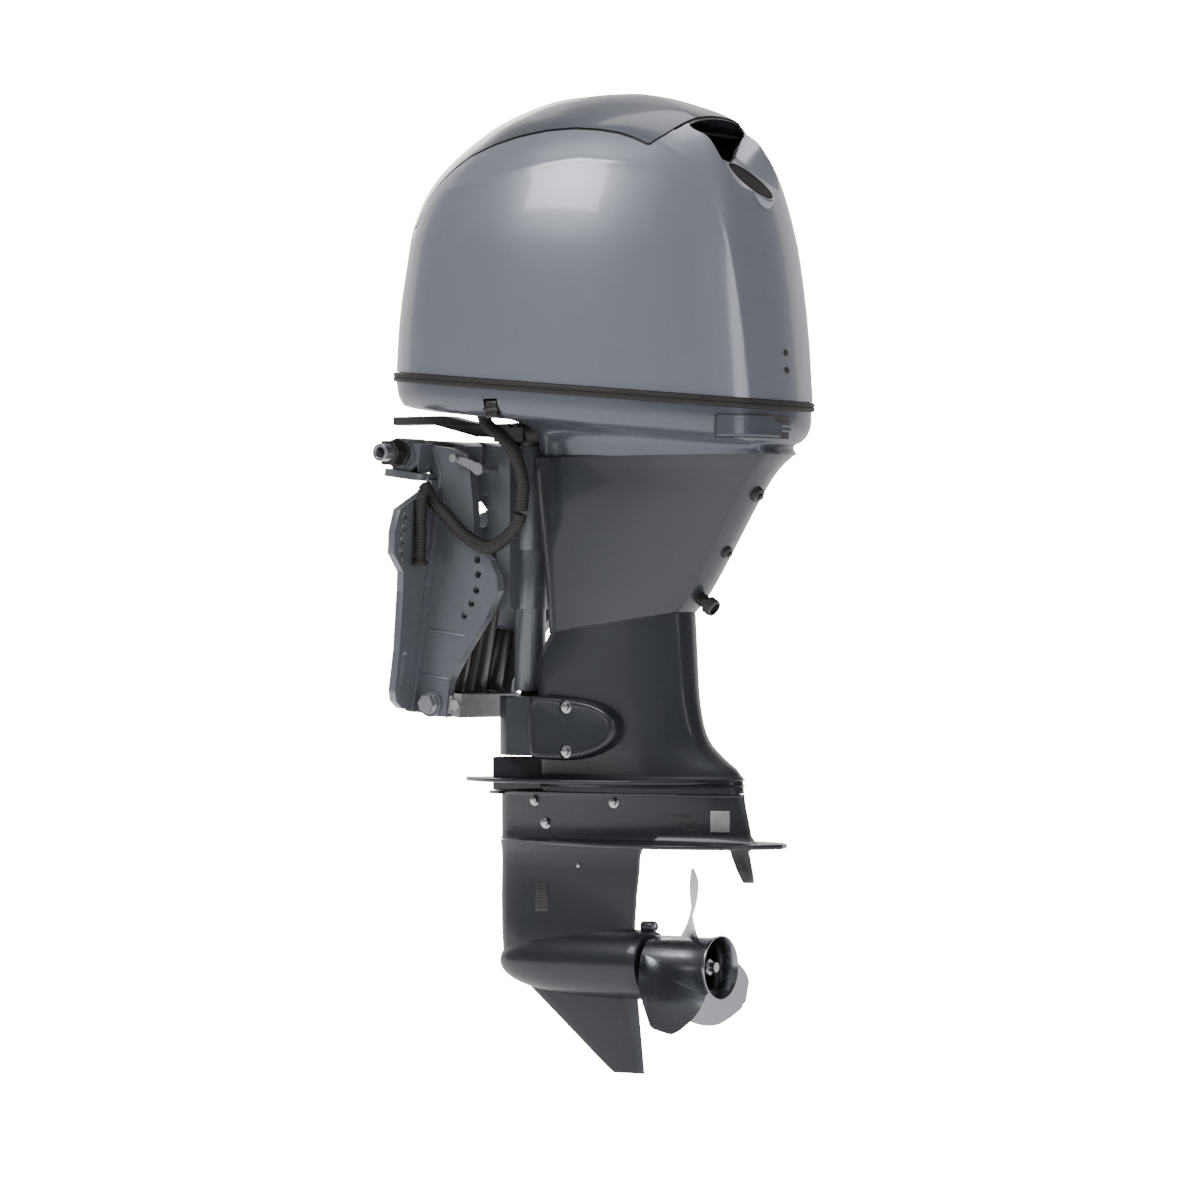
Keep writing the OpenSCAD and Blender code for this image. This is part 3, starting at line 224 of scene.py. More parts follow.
def spline(p, s, mirror_ends=False):
    """Catmull-Rom curve through the points of p, at s from 0 to len(p) - 1."""
    k = len(p)
    i = min(int(math.floor(s)), k - 2)
    f = s - i

    def at(j):
        if mirror_ends and j < 0:
            return (p[1][0], -p[1][1])
        if mirror_ends and j >= k:
            return (p[k - 2][0], -p[k - 2][1])
        return p[min(max(j, 0), k - 1)]
    a, b, c, d = at(i - 1), at(i), at(i + 1), at(i + 2)
    return [0.5 * (2 * b[m] + (c[m] - a[m]) * f + (2 * a[m] - 5 * b[m] + 4 * c[m] - d[m]) * f * f
                   + (3 * b[m] - a[m] - 3 * c[m] + d[m]) * f ** 3) for m in range(len(b))]


def half_plan(plan, n):
    """One half of a closed outline, n steps from front to rear."""
    return [spline(plan, (len(plan) - 1) * i / n, True) for i in range(n + 1)]


def full_plan(plan, n):
    h = half_plan(plan, n)
    h[0][1] = h[-1][1] = 0
    return h + [[p[0], -p[1]] for p in h[-2:0:-1]]


def place(section, p, inset=0):
    """A plan's point p in a section: front x, rear x, half width, front z, rear z."""
    xf, xr, b, zf, zr = section
    return (xf + inset + (xr - xf - 2 * inset) * p[0], (b - inset) * p[1], zf + (zr - zf) * p[0])


def chaikin(levels, times):
    """Rounds a stack of sections by cutting its corners, and keeps both ends."""
    for _ in range(times):
        out = [levels[0]]
        for a, b in zip(levels, levels[1:]):
            out.append([0.75 * x + 0.25 * y for x, y in zip(a, b)])
            out.append([0.25 * x + 0.75 * y for x, y in zip(a, b)])
        out.append(levels[-1])
        levels = out
    return levels


def loft(bm, plan, levels, n, inset=0, caps=True):
    pl = full_plan(plan, n)
    return add_rings(bm, [[place(s, p, inset) for p in pl] for s in levels], caps=caps)


def shell(bm, plan, levels, n, wall, inner=None):
    """A wall open at both ends, between the levels and the same levels set in by wall."""
    pl = full_plan(plan, n)
    inner = inner or levels
    outer_rings = [[place(s, p) for p in pl] for s in levels]
    inner_rings = [[place(s, p, wall) for p in pl] for s in inner]
    return add_rings(bm, outer_rings + inner_rings[::-1], loop=True)


def add_prism(bm, outline, to_xyz, a, b, bevel=0, segments=2):
    """An outline [(u, v)] drawn out from a to b; to_xyz(u, v, w) gives the point in millimetres."""
    t = bmesh.new()
    lo = [t.verts.new([c * MM for c in to_xyz(u, v, a)]) for u, v in outline]
    hi = [t.verts.new([c * MM for c in to_xyz(u, v, b)]) for u, v in outline]
    n = len(outline)
    t.faces.new(lo)
    t.faces.new(hi[::-1])
    for i in range(n):
        t.faces.new((lo[i], hi[i], hi[(i + 1) % n], lo[(i + 1) % n]))
    bmesh.ops.recalc_face_normals(t, faces=t.faces)
    if bevel:
        edges = [e for e in t.edges if e.calc_face_angle(0) > math.radians(25)]
        bmesh.ops.bevel(t, geom=edges, offset=bevel * MM, segments=segments, profile=0.5, affect="EDGES",
                        clamp_overlap=True)
    merge(bm, t)


def merge(bm, t):
    """Moves the mesh t into bm."""
    me = bpy.data.meshes.new("part")
    t.to_mesh(me)
    t.free()
    bm.from_mesh(me)
    bpy.data.meshes.remove(me)


def basis(axis):
    z = Vector(axis).normalized()
    x = z.orthogonal().normalized() if abs(z.z) > 0.9 else Vector((0, 0, 1)).cross(z).normalized()
    return x, z.cross(x), z


def add_turned(bm, origin, axis, profile, n=48):
    """A profile [(radius, height)] turned about an axis. Radius 0 at an end closes it."""
    x, y, z = basis(axis)
    o = Vector(origin)
    rings = []
    for r, h in profile:
        r = max(r, 0.01)
        rings.append([o + z * h + (x * cos(2 * pi * i / n) + y * sin(2 * pi * i / n)) * r for i in range(n)])
    add_rings(bm, rings)


def rod_profile(r, a, b, c=1.0):
    """A rod of radius r from a to b, with its edges eased by c."""
    return [(0, a), (r - c, a), (r - c * 0.3, a + c * 0.3), (r, a + c), (r, b - c), (r - c * 0.3, b - c * 0.3),
            (r - c, b), (0, b)]


def hex_outline(r):
    return [(r * cos(pi / 3 * i), r * sin(pi / 3 * i)) for i in range(6)]


def add_bolt(bm, origin, axis, r, head, washer=0):
    """Hexagon head with its chamfer, on a washer, standing on origin along axis."""
    x, y, z = basis(axis)
    o = Vector(origin)
    if washer:
        add_turned(bm, o, axis, rod_profile(r * 1.45, 0, washer, 0.4), 32)
    add_prism(bm, hex_outline(r), lambda u, v, w: o + x * u + y * v + z * w, washer, washer + head, 0.7)


def tube_frames(points):
    """Each point of a path with its direction and two steady directions across it."""
    out = []
    up = None
    for i, p in enumerate(points):
        t = (points[min(i + 1, len(points) - 1)] - points[max(i - 1, 0)]).normalized()
        if up is None:
            up = t.orthogonal().normalized()
        up = (up - t * up.dot(t)).normalized()
        out.append((p, t, up, t.cross(up)))
    return out


def route_points(route, step):
    """Points every step along the route's curve, and the curve's length."""
    raw = [Vector(spline(route, (len(route) - 1) * i / 600)) for i in range(601)]
    out, want, run = [raw[0]], step, 0
    for a, b in zip(raw, raw[1:]):
        d = (b - a).length
        while run + d >= want:
            out.append(a + (b - a) * ((want - run) / d))
            want += step
        run += d
    return out, run


def add_tube(bm, points, radius, n=28):
    """radius is a number or a function of the point's index."""
    rad = radius if callable(radius) else (lambda i: radius)
    rings = [[p + (u * cos(2 * pi * k / n) + v * sin(2 * pi * k / n)) * rad(i) for k in range(n)]
             for i, (p, _, u, v) in enumerate(tube_frames(points))]
    add_rings(bm, rings)


# ---------- shapes of the cowling, as in the CAD ----------
COWL_B = 190
cowl_plan = [(0, 0), (0.02, 0.39), (0.08, 0.68), (0.185, 0.87), (0.33, 0.97), (0.48, 1), (0.66, 0.94),
             (0.82, 0.79), (0.93, 0.60), (0.982, 0.41), (1, 0)]
cowl_levels = [[-50, 587, COWL_B, 122, 66], [-43, 579, COWL_B, 200, 165], [-30, 567, COWL_B - 4, 278, 258],
               [-20, 557, COWL_B - 11, 329, 316], [4, 542, COWL_B - 24, 381, 373],
               [44, 522, COWL_B - 40, 423, 417], [95, 493, COWL_B - 64, 460, 456],
               [134, 458, COWL_B - 90, 482, 480], [195, 391, COWL_B - 128, 504, 503],
               [258, 347, COWL_B - 162, 512, 512]]
seam = [(-60, 312), (-20, 315), (35, 330), (40, 353), (54, 369), (72, 389), (99, 409), (129, 426), (171, 440),
        (214, 450), (263, 456), (308, 457), (349, 453), (381, 447), (405, 439), (429, 428), (447, 445),
        (461, 461)]
COVER_END = 471
SEAM_GAP = 3
COWL_N = 150
COWL_WALL = 4
SCOOP_X = 468
MOUTH_X = 455
# further out than any point of the cowling
OUTSIDE = 640


def seam_z(x):
    if x >= COVER_END:
        return 9999
    if x >= seam[-1][0]:
        return 461 + (x - 461) * 0.9
    for a, b in zip(seam, seam[1:]):
        if a[0] <= x <= b[0]:
            return a[1] + (b[1] - a[1]) * (x - a[0]) / (b[0] - a[0])
    return seam[0][1]


REAR_EDGE = [(60, 80), (76, 81), (235, 89), (352, 96), (404, 103), (434, 112), (470, 120)]
SHOULDER = [(60, 372), (182, 386), (268, 403), (331, 409), (401, 401), (450, 396)]
BADGE = Vector((524, 0, 380))
tilt = math.radians(39)
BX, BY, BZ = Vector((cos(tilt), 0, -sin(tilt))), Vector((0, 1, 0)), Vector((sin(tilt), 0, cos(tilt)))


def lookup(table, x):
    if x <= table[0][0]:
        return table[0][1]
    for a, b in zip(table, table[1:]):
        if x <= b[0]:
            return a[1] + (b[1] - a[1]) * (x - a[0]) / (b[0] - a[0])
    return table[-1][1]


def ease(x):
    x = min(max(x, 0.0), 1.0)
    return x * x * (3 - 2 * x)


def scoop_z(x, y):
    """Height of the scoop under the intake: a floor in the badge's plane between two sloping cheeks."""
    run = x - BADGE.x
    floor = BADGE.z - 1.2 - run * math.tan(tilt) - 0.02 * max(run - 14, 0) ** 2
    side = abs(y) - 24 - 30 * ease((run + 34) / 50)
    return floor + (0.62 + 0.25 * ease((run + 53) / 30)) * (side + math.sqrt(side * side + 70)) / 2


def under_scoop(q):
    """Moves a point of the wall's inner face down under the scoop."""
    x, y, z = q
    return (x, y, min(z, scoop_z(x, y) - COWL_WALL)) if x > 469 else q


def cowl_at(s, p, inset=0):
    x, y, z = place(spline(cowl_levels, s), p, inset)
    if x > 380:
        # soft edge between the flank and the rear face
        d = abs(y) - lookup(REAR_EDGE, z)
        g = 2.6 * math.exp(-abs(d) / 11) * ease((x - 380) / 60)
        x += g * 0.8
        y += g * 0.6 * (1 if y > 0 else -1)
    if 60 < x < 450 and abs(y) > 100:
        # soft shoulder under the top cover
        d = z - lookup(SHOULDER, x)
        g = 1.8 * math.exp(-abs(d) / 9) * ease((x - 60) / 90) * ease((450 - x) / 60)
        y += g * (1 if y > 0 else -1)
        z += g * 0.4
    return x, y, z


def seam_level(p, rise):
    """The level at which the column of the plan's point p crosses the seam, moved up by rise."""
    lo, hi = 0.0, float(len(cowl_levels) - 1)
    for _ in range(30):
        mid = (lo + hi) / 2
        x, _, z = cowl_at(mid, p)
        if z - rise > seam_z(x + (rise if x > 455 else 0)):
            hi = mid
        else:
            lo = mid
    return (lo + hi) / 2


PLAN = full_plan(cowl_plan, COWL_N)


def cowl_solid(bm, from_levels, to_levels, rows, inset=0, wall=COWL_WALL, crown=False):
    """A curved wall between two edges, each a level per column, with its rims eased."""
    def ring(k, ins, shift=0.0):
        f = k / rows
        return [cowl_at(a + (b - a) * f + shift * (1 if k == 0 else -1), p, inset + ins)
                for p, a, b in zip(PLAN, from_levels, to_levels)]
    outer = [ring(0, 0.9)] + [ring(k, 0, 0.012 if k in (0, rows) else 0) for k in range(rows + 1)]
    inner = [[under_scoop(q) for q in ring(k, wall)] for k in range(rows, -1, -1)]
    if crown:
        top = [[tuple(c + (m - c) * t for c, m in zip(q, (302, 0, 513.6))) for q in ring(rows, 0)]
               for t in (0.2, 0.45, 0.7, 0.9)]
        low = [[tuple(c + (m - c) * t for c, m in zip(q, (302, 0, 508.5))) for q in ring(rows, wall)]
               for t in (0.9, 0.5)]
        add_rings(bm, [ring(0, wall)] + outer + top)
        add_rings(bm, inner[::-1] + low[::-1])
    else:
        outer = outer + [ring(rows, 0.9)]
        add_rings(bm, outer + inner, loop=True)


def cut(o, maker, operation="DIFFERENCE"):
    """Cuts a closed mesh out of o, or joins it, and applies the result."""
    t = bmesh.new()
    maker(t)
    bmesh.ops.recalc_face_normals(t, faces=t.faces)
    me = bpy.data.meshes.new("cutter")
    t.to_mesh(me)
    t.free()
    c = bpy.data.objects.new("cutter", me)
    bpy.context.scene.collection.objects.link(c)
    mod = o.modifiers.new("cut", "BOOLEAN")
    mod.operation = operation
    mod.solver = "EXACT"
    mod.object = c
    bpy.context.view_layer.update()
    ev = o.evaluated_get(bpy.context.evaluated_depsgraph_get())
    new = bpy.data.meshes.new_from_object(ev)
    o.modifiers.clear()
    old = o.data
    o.data = new
    bpy.data.meshes.remove(old)
    bpy.data.objects.remove(c)
    o.data.shade_smooth()
    o.data.set_sharp_from_angle(angle=math.radians(35))


def oval_rings(a, b, profile, n=64):
    """profile is [(how far in from the rim, height)]."""
    return [[BADGE + BX * ((a - d) * cos(2 * pi * i / n)) + BY * ((b - d) * sin(2 * pi * i / n)) + BZ * h
             for i in range(n)] for d, h in profile]


def make_cowling():
    low = [seam_level(p, -SEAM_GAP) for p in PLAN]
    high = [seam_level(p, 0) for p in PLAN]
    top = float(len(cowl_levels) - 1)
    bm = bmesh.new()
    cowl_solid(bm, [0.0] * len(PLAN), low, 84)
    cowl = finish_mesh("top_cowl_skin", bm, "cowl_paint", None, ["top_cowl"])

    # the scoop is cut into the wall, which is thicker there
    xs = [SCOOP_X + 132 * i / 60 for i in range(61)]
    ys = [-110 + 220 * i / 88 for i in range(89)]
    cut(cowl, lambda t: add_rings(t, [[(x, y, scoop_z(x, y)) for y in ys]
                                      + [(x, ys[-1], OUTSIDE), (x, ys[0], OUTSIDE)] for x in xs]))
    land = [(0, -16), (0, -3.4), (1.2, -1.6), (3, -0.7), (30, -0.7)]
    cut(cowl, lambda t: add_rings(t, oval_rings(47.5, 32, land)), "UNION")
    mouth = [(-24, 415), (0, 406), (24, 415), (73, 456), (73, 490), (-73, 490), (-73, 456)]
    cut(cowl, lambda t: add_prism(t, mouth, lambda u, v, w: (w, u, v), MOUTH_X, OUTSIDE))
    cut(cowl, lambda t: add_rings(t, oval_rings(42.4, 27.4, [(0, -9), (0, 60)])))
    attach(cowl, "top_cowl")

    bm = bmesh.new()
    cowl_solid(bm, high, [top] * len(PLAN), 30, crown=True)
    cover = finish_mesh("top_cover_skin", bm, "cover_paint", None, ["top_cover"])

    # the cover's rear edge turns down into a straight lip over the intake
    def lip(t):
        half = 78
        add_rings(t, [[(466, y, 470.5 - 13 * (y / half) ** 2), (470.6, y, 469.5 - 13 * (y / half) ** 2),
                       (473.4, y, 464 - 7 * (y / half) ** 2), (474.6, y, 459.5), (474, y, 457.6), (472.4, y, 457),
                       (466, y, 457)] for y in [2 * half * i / 40 - half for i in range(41)]])
    cut(cover, lip, "UNION")
    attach(cover, "top_cowl")

    # black strip behind the seam
    bm = bmesh.new()
    rows = []
    for d in (-0.22, 0.22):
        rows.append([cowl_at(min(h + d, top), p, 3.2) for p, h in zip(PLAN, high)])
    for d in (0.22, -0.22):
        rows.append([cowl_at(min(h + d, top), p, 5.2) for p, h in zip(PLAN, high)])
    add_rings(bm, rows, loop=True)
    finish_mesh("seam_backing", bm, "black_plastic", "top_cowl")

    # badge: a plain oval plate with a raised rim
    bm = bmesh.new()
    plate = [(0, -5), (0, -0.6), (0.7, 0.5), (2.6, 0.6), (3.6, -0.4), (16, 0.2), (26, 0.3)]
    add_rings(bm, oval_rings(42, 27, plate))
    finish_mesh("badge_plate", bm, "black_plastic", "top_cowl", ["intake_badge"], look="badge_black")

    # duct behind the intake
    bm = bmesh.new()
    outline = [(-28, 408), (28, 408), (78, 450), (-78, 450)]
    hole = [(-24, 412), (24, 412), (68, 446), (-68, 446)]

    def section(x, shape):
        squeeze = 1 if x < 446 else 0.99 - 0.007 * (x - 446)
        return [(x, (a[0] + (b[0] - a[0]) * i / 6) * squeeze, a[1] + (b[1] - a[1]) * i / 6)
                for a, b in zip(shape, shape[1:] + shape[:1]) for i in range(6)]
    xs = [405, 430, 445, 456, 464]
    add_rings(bm, [section(x, outline) for x in xs] + [section(x, hole) for x in xs[::-1]])
    finish_mesh("intake_duct_skin", bm, "black_plastic", "top_cowl", ["intake_duct"], look="badge_black")

    # cross-headed screws on the rear face
    bm = bmesh.new()
    for z in (109, 134):
        x = 587.3 - (z - 66) * 8 / 99
        add_turned(bm, (x, 0, z), (1, 0, 0.08), [(0, 0), (5, 0), (5, 1.4), (4.3, 2.6), (2.4, 3.3), (1.6, 2.4),
                                                 (0, 2.2)], 32)
    finish_mesh("rear_screws", bm, "black_plastic", "top_cowl", ["cowl_screws"])


make_cowling()


# ---------- bottom cowl, seal, latch, switch ----------
pan_levels = [[-50, 587, 190, 108, 52], [-47, 587, 187, 84, 28], [-36, 578, 172, 66, 10], [171, 574, 100, 50, 3],
              [180, 586, 88, -9, -9]]
pan_rise = [0, 0, 3, 5, 0]
LEVER_TOP, LEVER_H = 44, 30


def make_pan():
    bm = bmesh.new()
    levels = chaikin(pan_levels, 2)
    inner = chaikin([[s[0], s[1], s[2], s[3] + r, s[4] + r] for s, r in zip(pan_levels, pan_rise)], 2)
    shell(bm, cowl_plan, levels, 90, 5, inner)
    pan = finish_mesh("bottom_cowl_skin", bm, "cover_paint", None, ["bottom_cowl"], sharp=50)
    cut(pan, lambda t: add_prism(t, [(190, 42), (216, 42), (216, 72), (190, 72)],
                                 lambda u, v, w: (u, w, v), -200, -168))
    cut(pan, lambda t: add_turned(t, (134, -106, 20), (0, 0, 1), [(0, 0), (13, 0), (13, 60), (0, 60)], 32))
    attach(pan, "engine")

    # seal: a soft lip above and below a flat band
    bm = bmesh.new()
    pl = full_plan(cowl_plan, 90)
    prof = [(-2.0, -0.4), (-0.6, -1.0), (0, -2.6), (-0.2, -6.8), (-1.2, -7.2), (-0.2, -7.7), (0, -11.6),
            (-0.6, -13.2), (-2.0, -13.8)]
    rings = [[place([-54, 591, 194, 122 + dz, 66 + dz], p, -ins) for p in pl] for ins, dz in prof]
    rings += [[place([-54, 591, 194, 122 + dz, 66 + dz], p, 12) for p in pl] for dz in (-13.8, -0.4)]
    add_rings(bm, rings, loop=True)
    finish_mesh("cowl_seal_band", bm, "black_rubber", "engine", ["cowl_seal"])

    # latch lever: strip round the port rear corner, cupped, thicker at its grip end
    bm = bmesh.new()
    n = 40
    rings = []
    for i in range(n + 1):
        s = 7.95 + (10 - 7.95) * i / n
        p = spline(cowl_plan, s, True)
        f = i / n
        drop = 0 if f < 0.72 else min((f - 0.72) / 0.08, 1) * 9
        low = LEVER_TOP - LEVER_H + (8 if f > 0.86 else 0)

        def q(off, z):
            return (-50 - off + (637 + 2 * off) * p[0], -(190 + off) * p[1], z)
        hi = LEVER_TOP - drop
        mid = (hi + low) / 2
        e = 0.6 if 0 < i < n else 1.6
        rings.append([q(0.6, hi - 1), q(1.2, hi), q(3.2, hi), q(4.0 - e * 0.3, hi - 1.2), q(3.9, hi - 4),
                      q(3.1, mid), q(3.9, low + 4), q(4.0 - e * 0.3, low + 1.2), q(3.2, low), q(1.2, low),
                      q(0.6, low + 1)])
    add_rings(bm, rings)
    finish_mesh("latch_lever_skin", bm, "cover_paint", "latch", ["cowl_latch_lever"])

    # black strip behind the lever, a little taller than it: painted shadow round the lever
    bm = bmesh.new()
    rings = []
    for i in range(n + 1):
        p = spline(cowl_plan, 7.93 + 2.09 * i / n if i < n else 10, True)
        off = [(-3, 45.6), (0.45, 45.6), (0.45, 12.4), (-3, 12.4)]
        rings.append([(-50 - o + (637 + 2 * o) * p[0], -(190 + o) * p[1], z) for o, z in off])
    add_rings(bm, rings)
    finish_mesh("latch_painted_shadow_strip", bm, "black_plastic", "engine")

    # rocker switch in a rubber frame
    bm = bmesh.new()
    c = Vector((203, -180.5, 57))
    face = [(-12.5, -3), (-9, -4.4), (-3, -3.4), (0, -3.0), (3, -3.4), (9, -4.4), (12.5, -3), (12.5, 4),
            (-12.5, 4)]
    add_prism(bm, face, lambda u, v, w: (c.x + w, c.y + v, c.z + u), -9.5, 9.5, 0.9)
    for s in (-1, 1):
        add_prism(bm, [(-2.6, -1.8), (2.6, -1.8), (0, 2.6)],
                  lambda u, v, w: (c.x + u, c.y + w, c.z + s * (8 + v)), -5.2, -4.0, 0.3)
    add_turned(bm, (190.8, -184, 57), (1, 0, 0), rod_profile(3, 0, 24.4, 0.5), 20)
    finish_mesh("rocker_switch", bm, "black_plastic", "switch", ["tilt_switch"])


make_pan()


# ---------- leg ----------
leg_plan = [(0, 0), (0.006, 0.42), (0.045, 0.74), (0.16, 0.93), (0.36, 1), (0.6, 0.93), (0.82, 0.72),
            (0.95, 0.46), (0.985, 0.3), (1, 0)]
apron_levels = [[180, 586, 88, -9, -9], [182, 558, 86, -30, -30], [185, 531, 84, -67, -67],
                [191, 497, 78, -123, -123], [197, 448, 69, -203, -203], [200, 421, 63, -262, -231]]
case_levels = [[212, 520, 68, 12, 12], [207, 466, 62, -123, -123], [209, 410, 55, -262.9, -232.1],
               [200, 421, 62, -263.5, -232.5], [176, 426, 60, -300, -300], [176, 430, 57, -360, -360],
               [176, 443, 53, -412, -412], [176, 474, 49, -440, -440], [176, 506, 47, -461, -461],
               [176, 509, 46, -489.5, -489.5]]
FACE_LEAN = 33
rear_face = [(-231, 421), (-203, 448), (-123, 497), (-67, 531), (-30, 558), (-9, 586)]
rear_fittings = [[-64, 11, 7, 5, 4], [-146, 9, 5, 4, 4], [-212, 9, 14, 13, 14]]


def rear_face_x(z):
    for a, b in zip(rear_face, rear_face[1:]):
        if a[0] <= z <= b[0]:
            return a[1] + (b[1] - a[1]) * (z - a[0]) / (b[0] - a[0])


def fillet_levels(levels, eases):
    """Chaikin-smooths a stack of sections, keeping the ones listed in eases as hard steps."""
    out, start = [], 0
    for k in list(eases) + [len(levels) - 1]:
        out += chaikin(levels[start:k + 1], 2)
        start = k
    return out


def make_leg():
    bm = bmesh.new()
    levels = chaikin(apron_levels, 2)
    rim = [[levels[0][0] + 0.8, levels[0][1] - 0.8, levels[0][2] - 0.8, -9, -9]]
    end = levels[-1]
    foot = [[end[0] + 1.2, end[1] - 1.2, end[2] - 1.2, end[3] - 1.2, end[4] - 1.2]]
    shell(bm, leg_plan, rim + levels + foot, 70, 5)
    # the apron takes the darkened copy of the cover paint, which paints the shade it stands in
    apron = finish_mesh("apron_skin", bm, "cover_paint", None, ["apron"], sharp=50, look="leg_paint_with_painted_shade")
    out = (cos(math.radians(FACE_LEAN)), 0, -sin(math.radians(FACE_LEAN)))
    for z, r, *_ in rear_fittings:
        cut(apron, lambda t: add_turned(t, Vector((rear_face_x(z), 0, z)) - Vector(out) * 14, out,
                                        [(0, 0), (r + 0.3, 0), (r + 0.3, 40), (0, 40)], 40))
    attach(apron, "engine")

    # plugs and flushing connector
    bm = bmesh.new()
    for z, r, h, r2, h2 in rear_fittings:
        o = Vector((rear_face_x(z), 0, z))
        if r2 < r:
            prof = [(0, -4), (r, -4), (r, h - 2.2), (r - 0.7, h - 0.7), (r - 2.4, h), (r2 + 1.6, h),
                    (r2 + 0.8, h + 0.6), (r2, h + 0.8), (r2, h + h2 - 1), (r2 - 1, h + h2), (0, h + h2)]
            add_turned(bm, o, out, prof, 40)
        else:
            prof = [(0, -4), (r, -4), (r, 3), (r + 1, 3.6), (r + 1, 6), (r, 6.6), (r, h), (r2 - 1, h), (r2, h + 1)]
            prof += [(r2 - (0.7 if k % 2 else 0), h + 2 + k) for k in range(9)]
            prof += [(r2 - 1.4, h + h2), (r2 - 4, h + h2), (r2 - 4.6, h + h2 - 5), (0, h + h2 - 5)]
            add_turned(bm, o, out, prof, 48)
    finish_mesh("rear_plugs", bm, "black_plastic", "engine", ["apron_fittings"])

    # upper case
    bm = bmesh.new()
    loft(bm, leg_plan, fillet_levels(case_levels, [2, 3]), 70)
    plate = [(0, 0), (0.06, 0.28), (0.2, 0.72), (0.4, 1), (0.62, 0.98), (0.85, 0.72), (1, 0.3)]
    half = [spline(plate, 6 * i / 40) for i in range(41)]
    both = half + [[p[0], -p[1]] for p in half[:0:-1]]

    def plate_ring(ins, z):
        return [(29 + ins + (439 - 2 * ins) * p[0], (96 - ins) * p[1], z) for p in both]
    add_rings(bm, [plate_ring(2.2, -477), plate_ring(0.7, -476.4), plate_ring(0, -475), plate_ring(0, -473),
                   plate_ring(0.7, -471.6), plate_ring(2.2, -471)])
    # fillet between the case and the splash plate, above and below
    for z0, side in ((-471, 1), (-477, -1)):
        sec = [s for s in case_levels if s[3] < -455][0]
        rings = [[place([sec[0] - w, sec[1] + w, sec[2] + w, z0 + side * h, z0 + side * h], p)
                  for p in full_plan(leg_plan, 70)]
                 for w, h in ((7, 0), (4.2, 0.8), (2.2, 2.4), (0.9, 4.6), (-3, 8))]
        add_rings(bm, rings)
    # steering tube's foot, in front of the case
    foot = [(97 + 0.45 * 24 * cos(a), 24 * sin(a)) for a in [pi / 2 + pi * k / 18 for k in range(19)]]
    foot = foot + [(240, -24), (240, 24)]
    add_prism(bm, foot, lambda u, v, w: (u, v, w), -489.5, -441, 2.5, 3)
    finish_mesh("upper_case_skin", bm, "casting_paint", "engine", ["upper_case"], sharp=40)

    # lower mount covers: rounded pads with a raised rim and recessed bolts
    outline = [(187, -354), (200, -351), (258, -353), (306, -362), (334, -378), (340, -396), (334, -418),
               (306, -434), (262, -445), (200, -443), (187, -438)]
    fine = outline
    for _ in range(2):
        fine = [q for a, b in zip(fine, fine[1:] + fine[:1])
                for q in ((0.75 * a[0] + 0.25 * b[0], 0.75 * a[1] + 0.25 * b[1]),
                          (0.25 * a[0] + 0.75 * b[0], 0.25 * a[1] + 0.75 * b[1]))]
    cx, cz = 262, -398

    def inset(d):
        return [(x + (cx - x) * d / math.hypot(cx - x, cz - z), z + (cz - z) * d / math.hypot(cx - x, cz - z))
                for x, z in fine]
    for side, label in ((-1, "port"), (1, "starboard")):
        bm = bmesh.new()
        rings = [[(x, side * y, z) for x, z in inset(d)]
                 for d, y in ((0, 37), (0, 62), (0.6, 66.5), (2.4, 70), (5.5, 72), (9.5, 72.5), (11.5, 72.1),
                              (12.6, 71.2), (16, 71.0))]
        add_rings(bm, rings)
        o = finish_mesh("mount_cover_skin_" + label, bm, "casting_paint", None, ["mount_cover_" + label], sharp=50)
        for z in (-367, -431):
            cut(o, lambda t: add_turned(t, (254, side * 68, z), (0, side, 0),
                                        [(0, 0), (10.2, 0), (10.2, 12), (0, 12)], 32))
        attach(o, "engine")
    bm = bmesh.new()
    for side in (-1, 1):
        for z in (-367, -431):
            add_turned(bm, (254, side * 62, z), (0, side, 0), rod_profile(4, 0, 7, 0.3), 24)
            add_bolt(bm, (254, side * 68.1, z), (0, side, 0), 6.6, 5.2, 1.2)
    finish_mesh("mount_cover_screws", bm, "steel", "engine", ["mount_cover_bolts"])


make_leg()


# ---------- lower unit ----------
PROP_Z = -737
strut_plan = [(0, 0), (0.015, 0.3), (0.08, 0.62), (0.22, 0.9), (0.42, 1), (0.65, 0.86), (0.85, 0.5), (1, 0.12)]
strut_levels = [[94, 345, 34, -562, -562], [95, 338, 29, -572, -572], [96, 334, 27.3, -582, -582],
                [96, 333, 27, -600, -600], [95, 328, 27, -640, -640], [96, 325, 29, -680, -680],
                [97, 325, 31, -700, -700], [100, 325, 30, -737, -737]]
neck_levels = [[97, 509, 46, -490, -490], [96.5, 513, 43, -510, -510], [96, 518, 40, -530, -530],
               [96, 522, 38, -548, -548], [96, 528, 40, -557, -557], [94, 535, 46, -561, -561]]
av_plan = [(0, 0), (0.04, 0.2), (0.18, 0.5), (0.4, 0.86), (0.62, 1), (0.82, 0.86), (0.94, 0.5), (1, 0)]
bullet = [(94, 0), (94.6, 4), (97, 10), (101, 15.5), (106, 20), (113, 24.5), (122, 29), (135, 33.8), (150, 38),
          (170, 42.4), (190, 45.5), (212, 47.4), (235, 48.5), (262, 49.5), (290, 50), (340, 50), (353, 49.6),
          (357, 48), (357, 41)]


def blunt_plan(plan, n):
    """Like full_plan, for a plan whose rear end has some width."""
    h = [spline(plan, (len(plan) - 1) * i / n) for i in range(n + 1)]
    h[0][1] = 0
    return h + [[p[0], -p[1]] for p in h[:0:-1]]


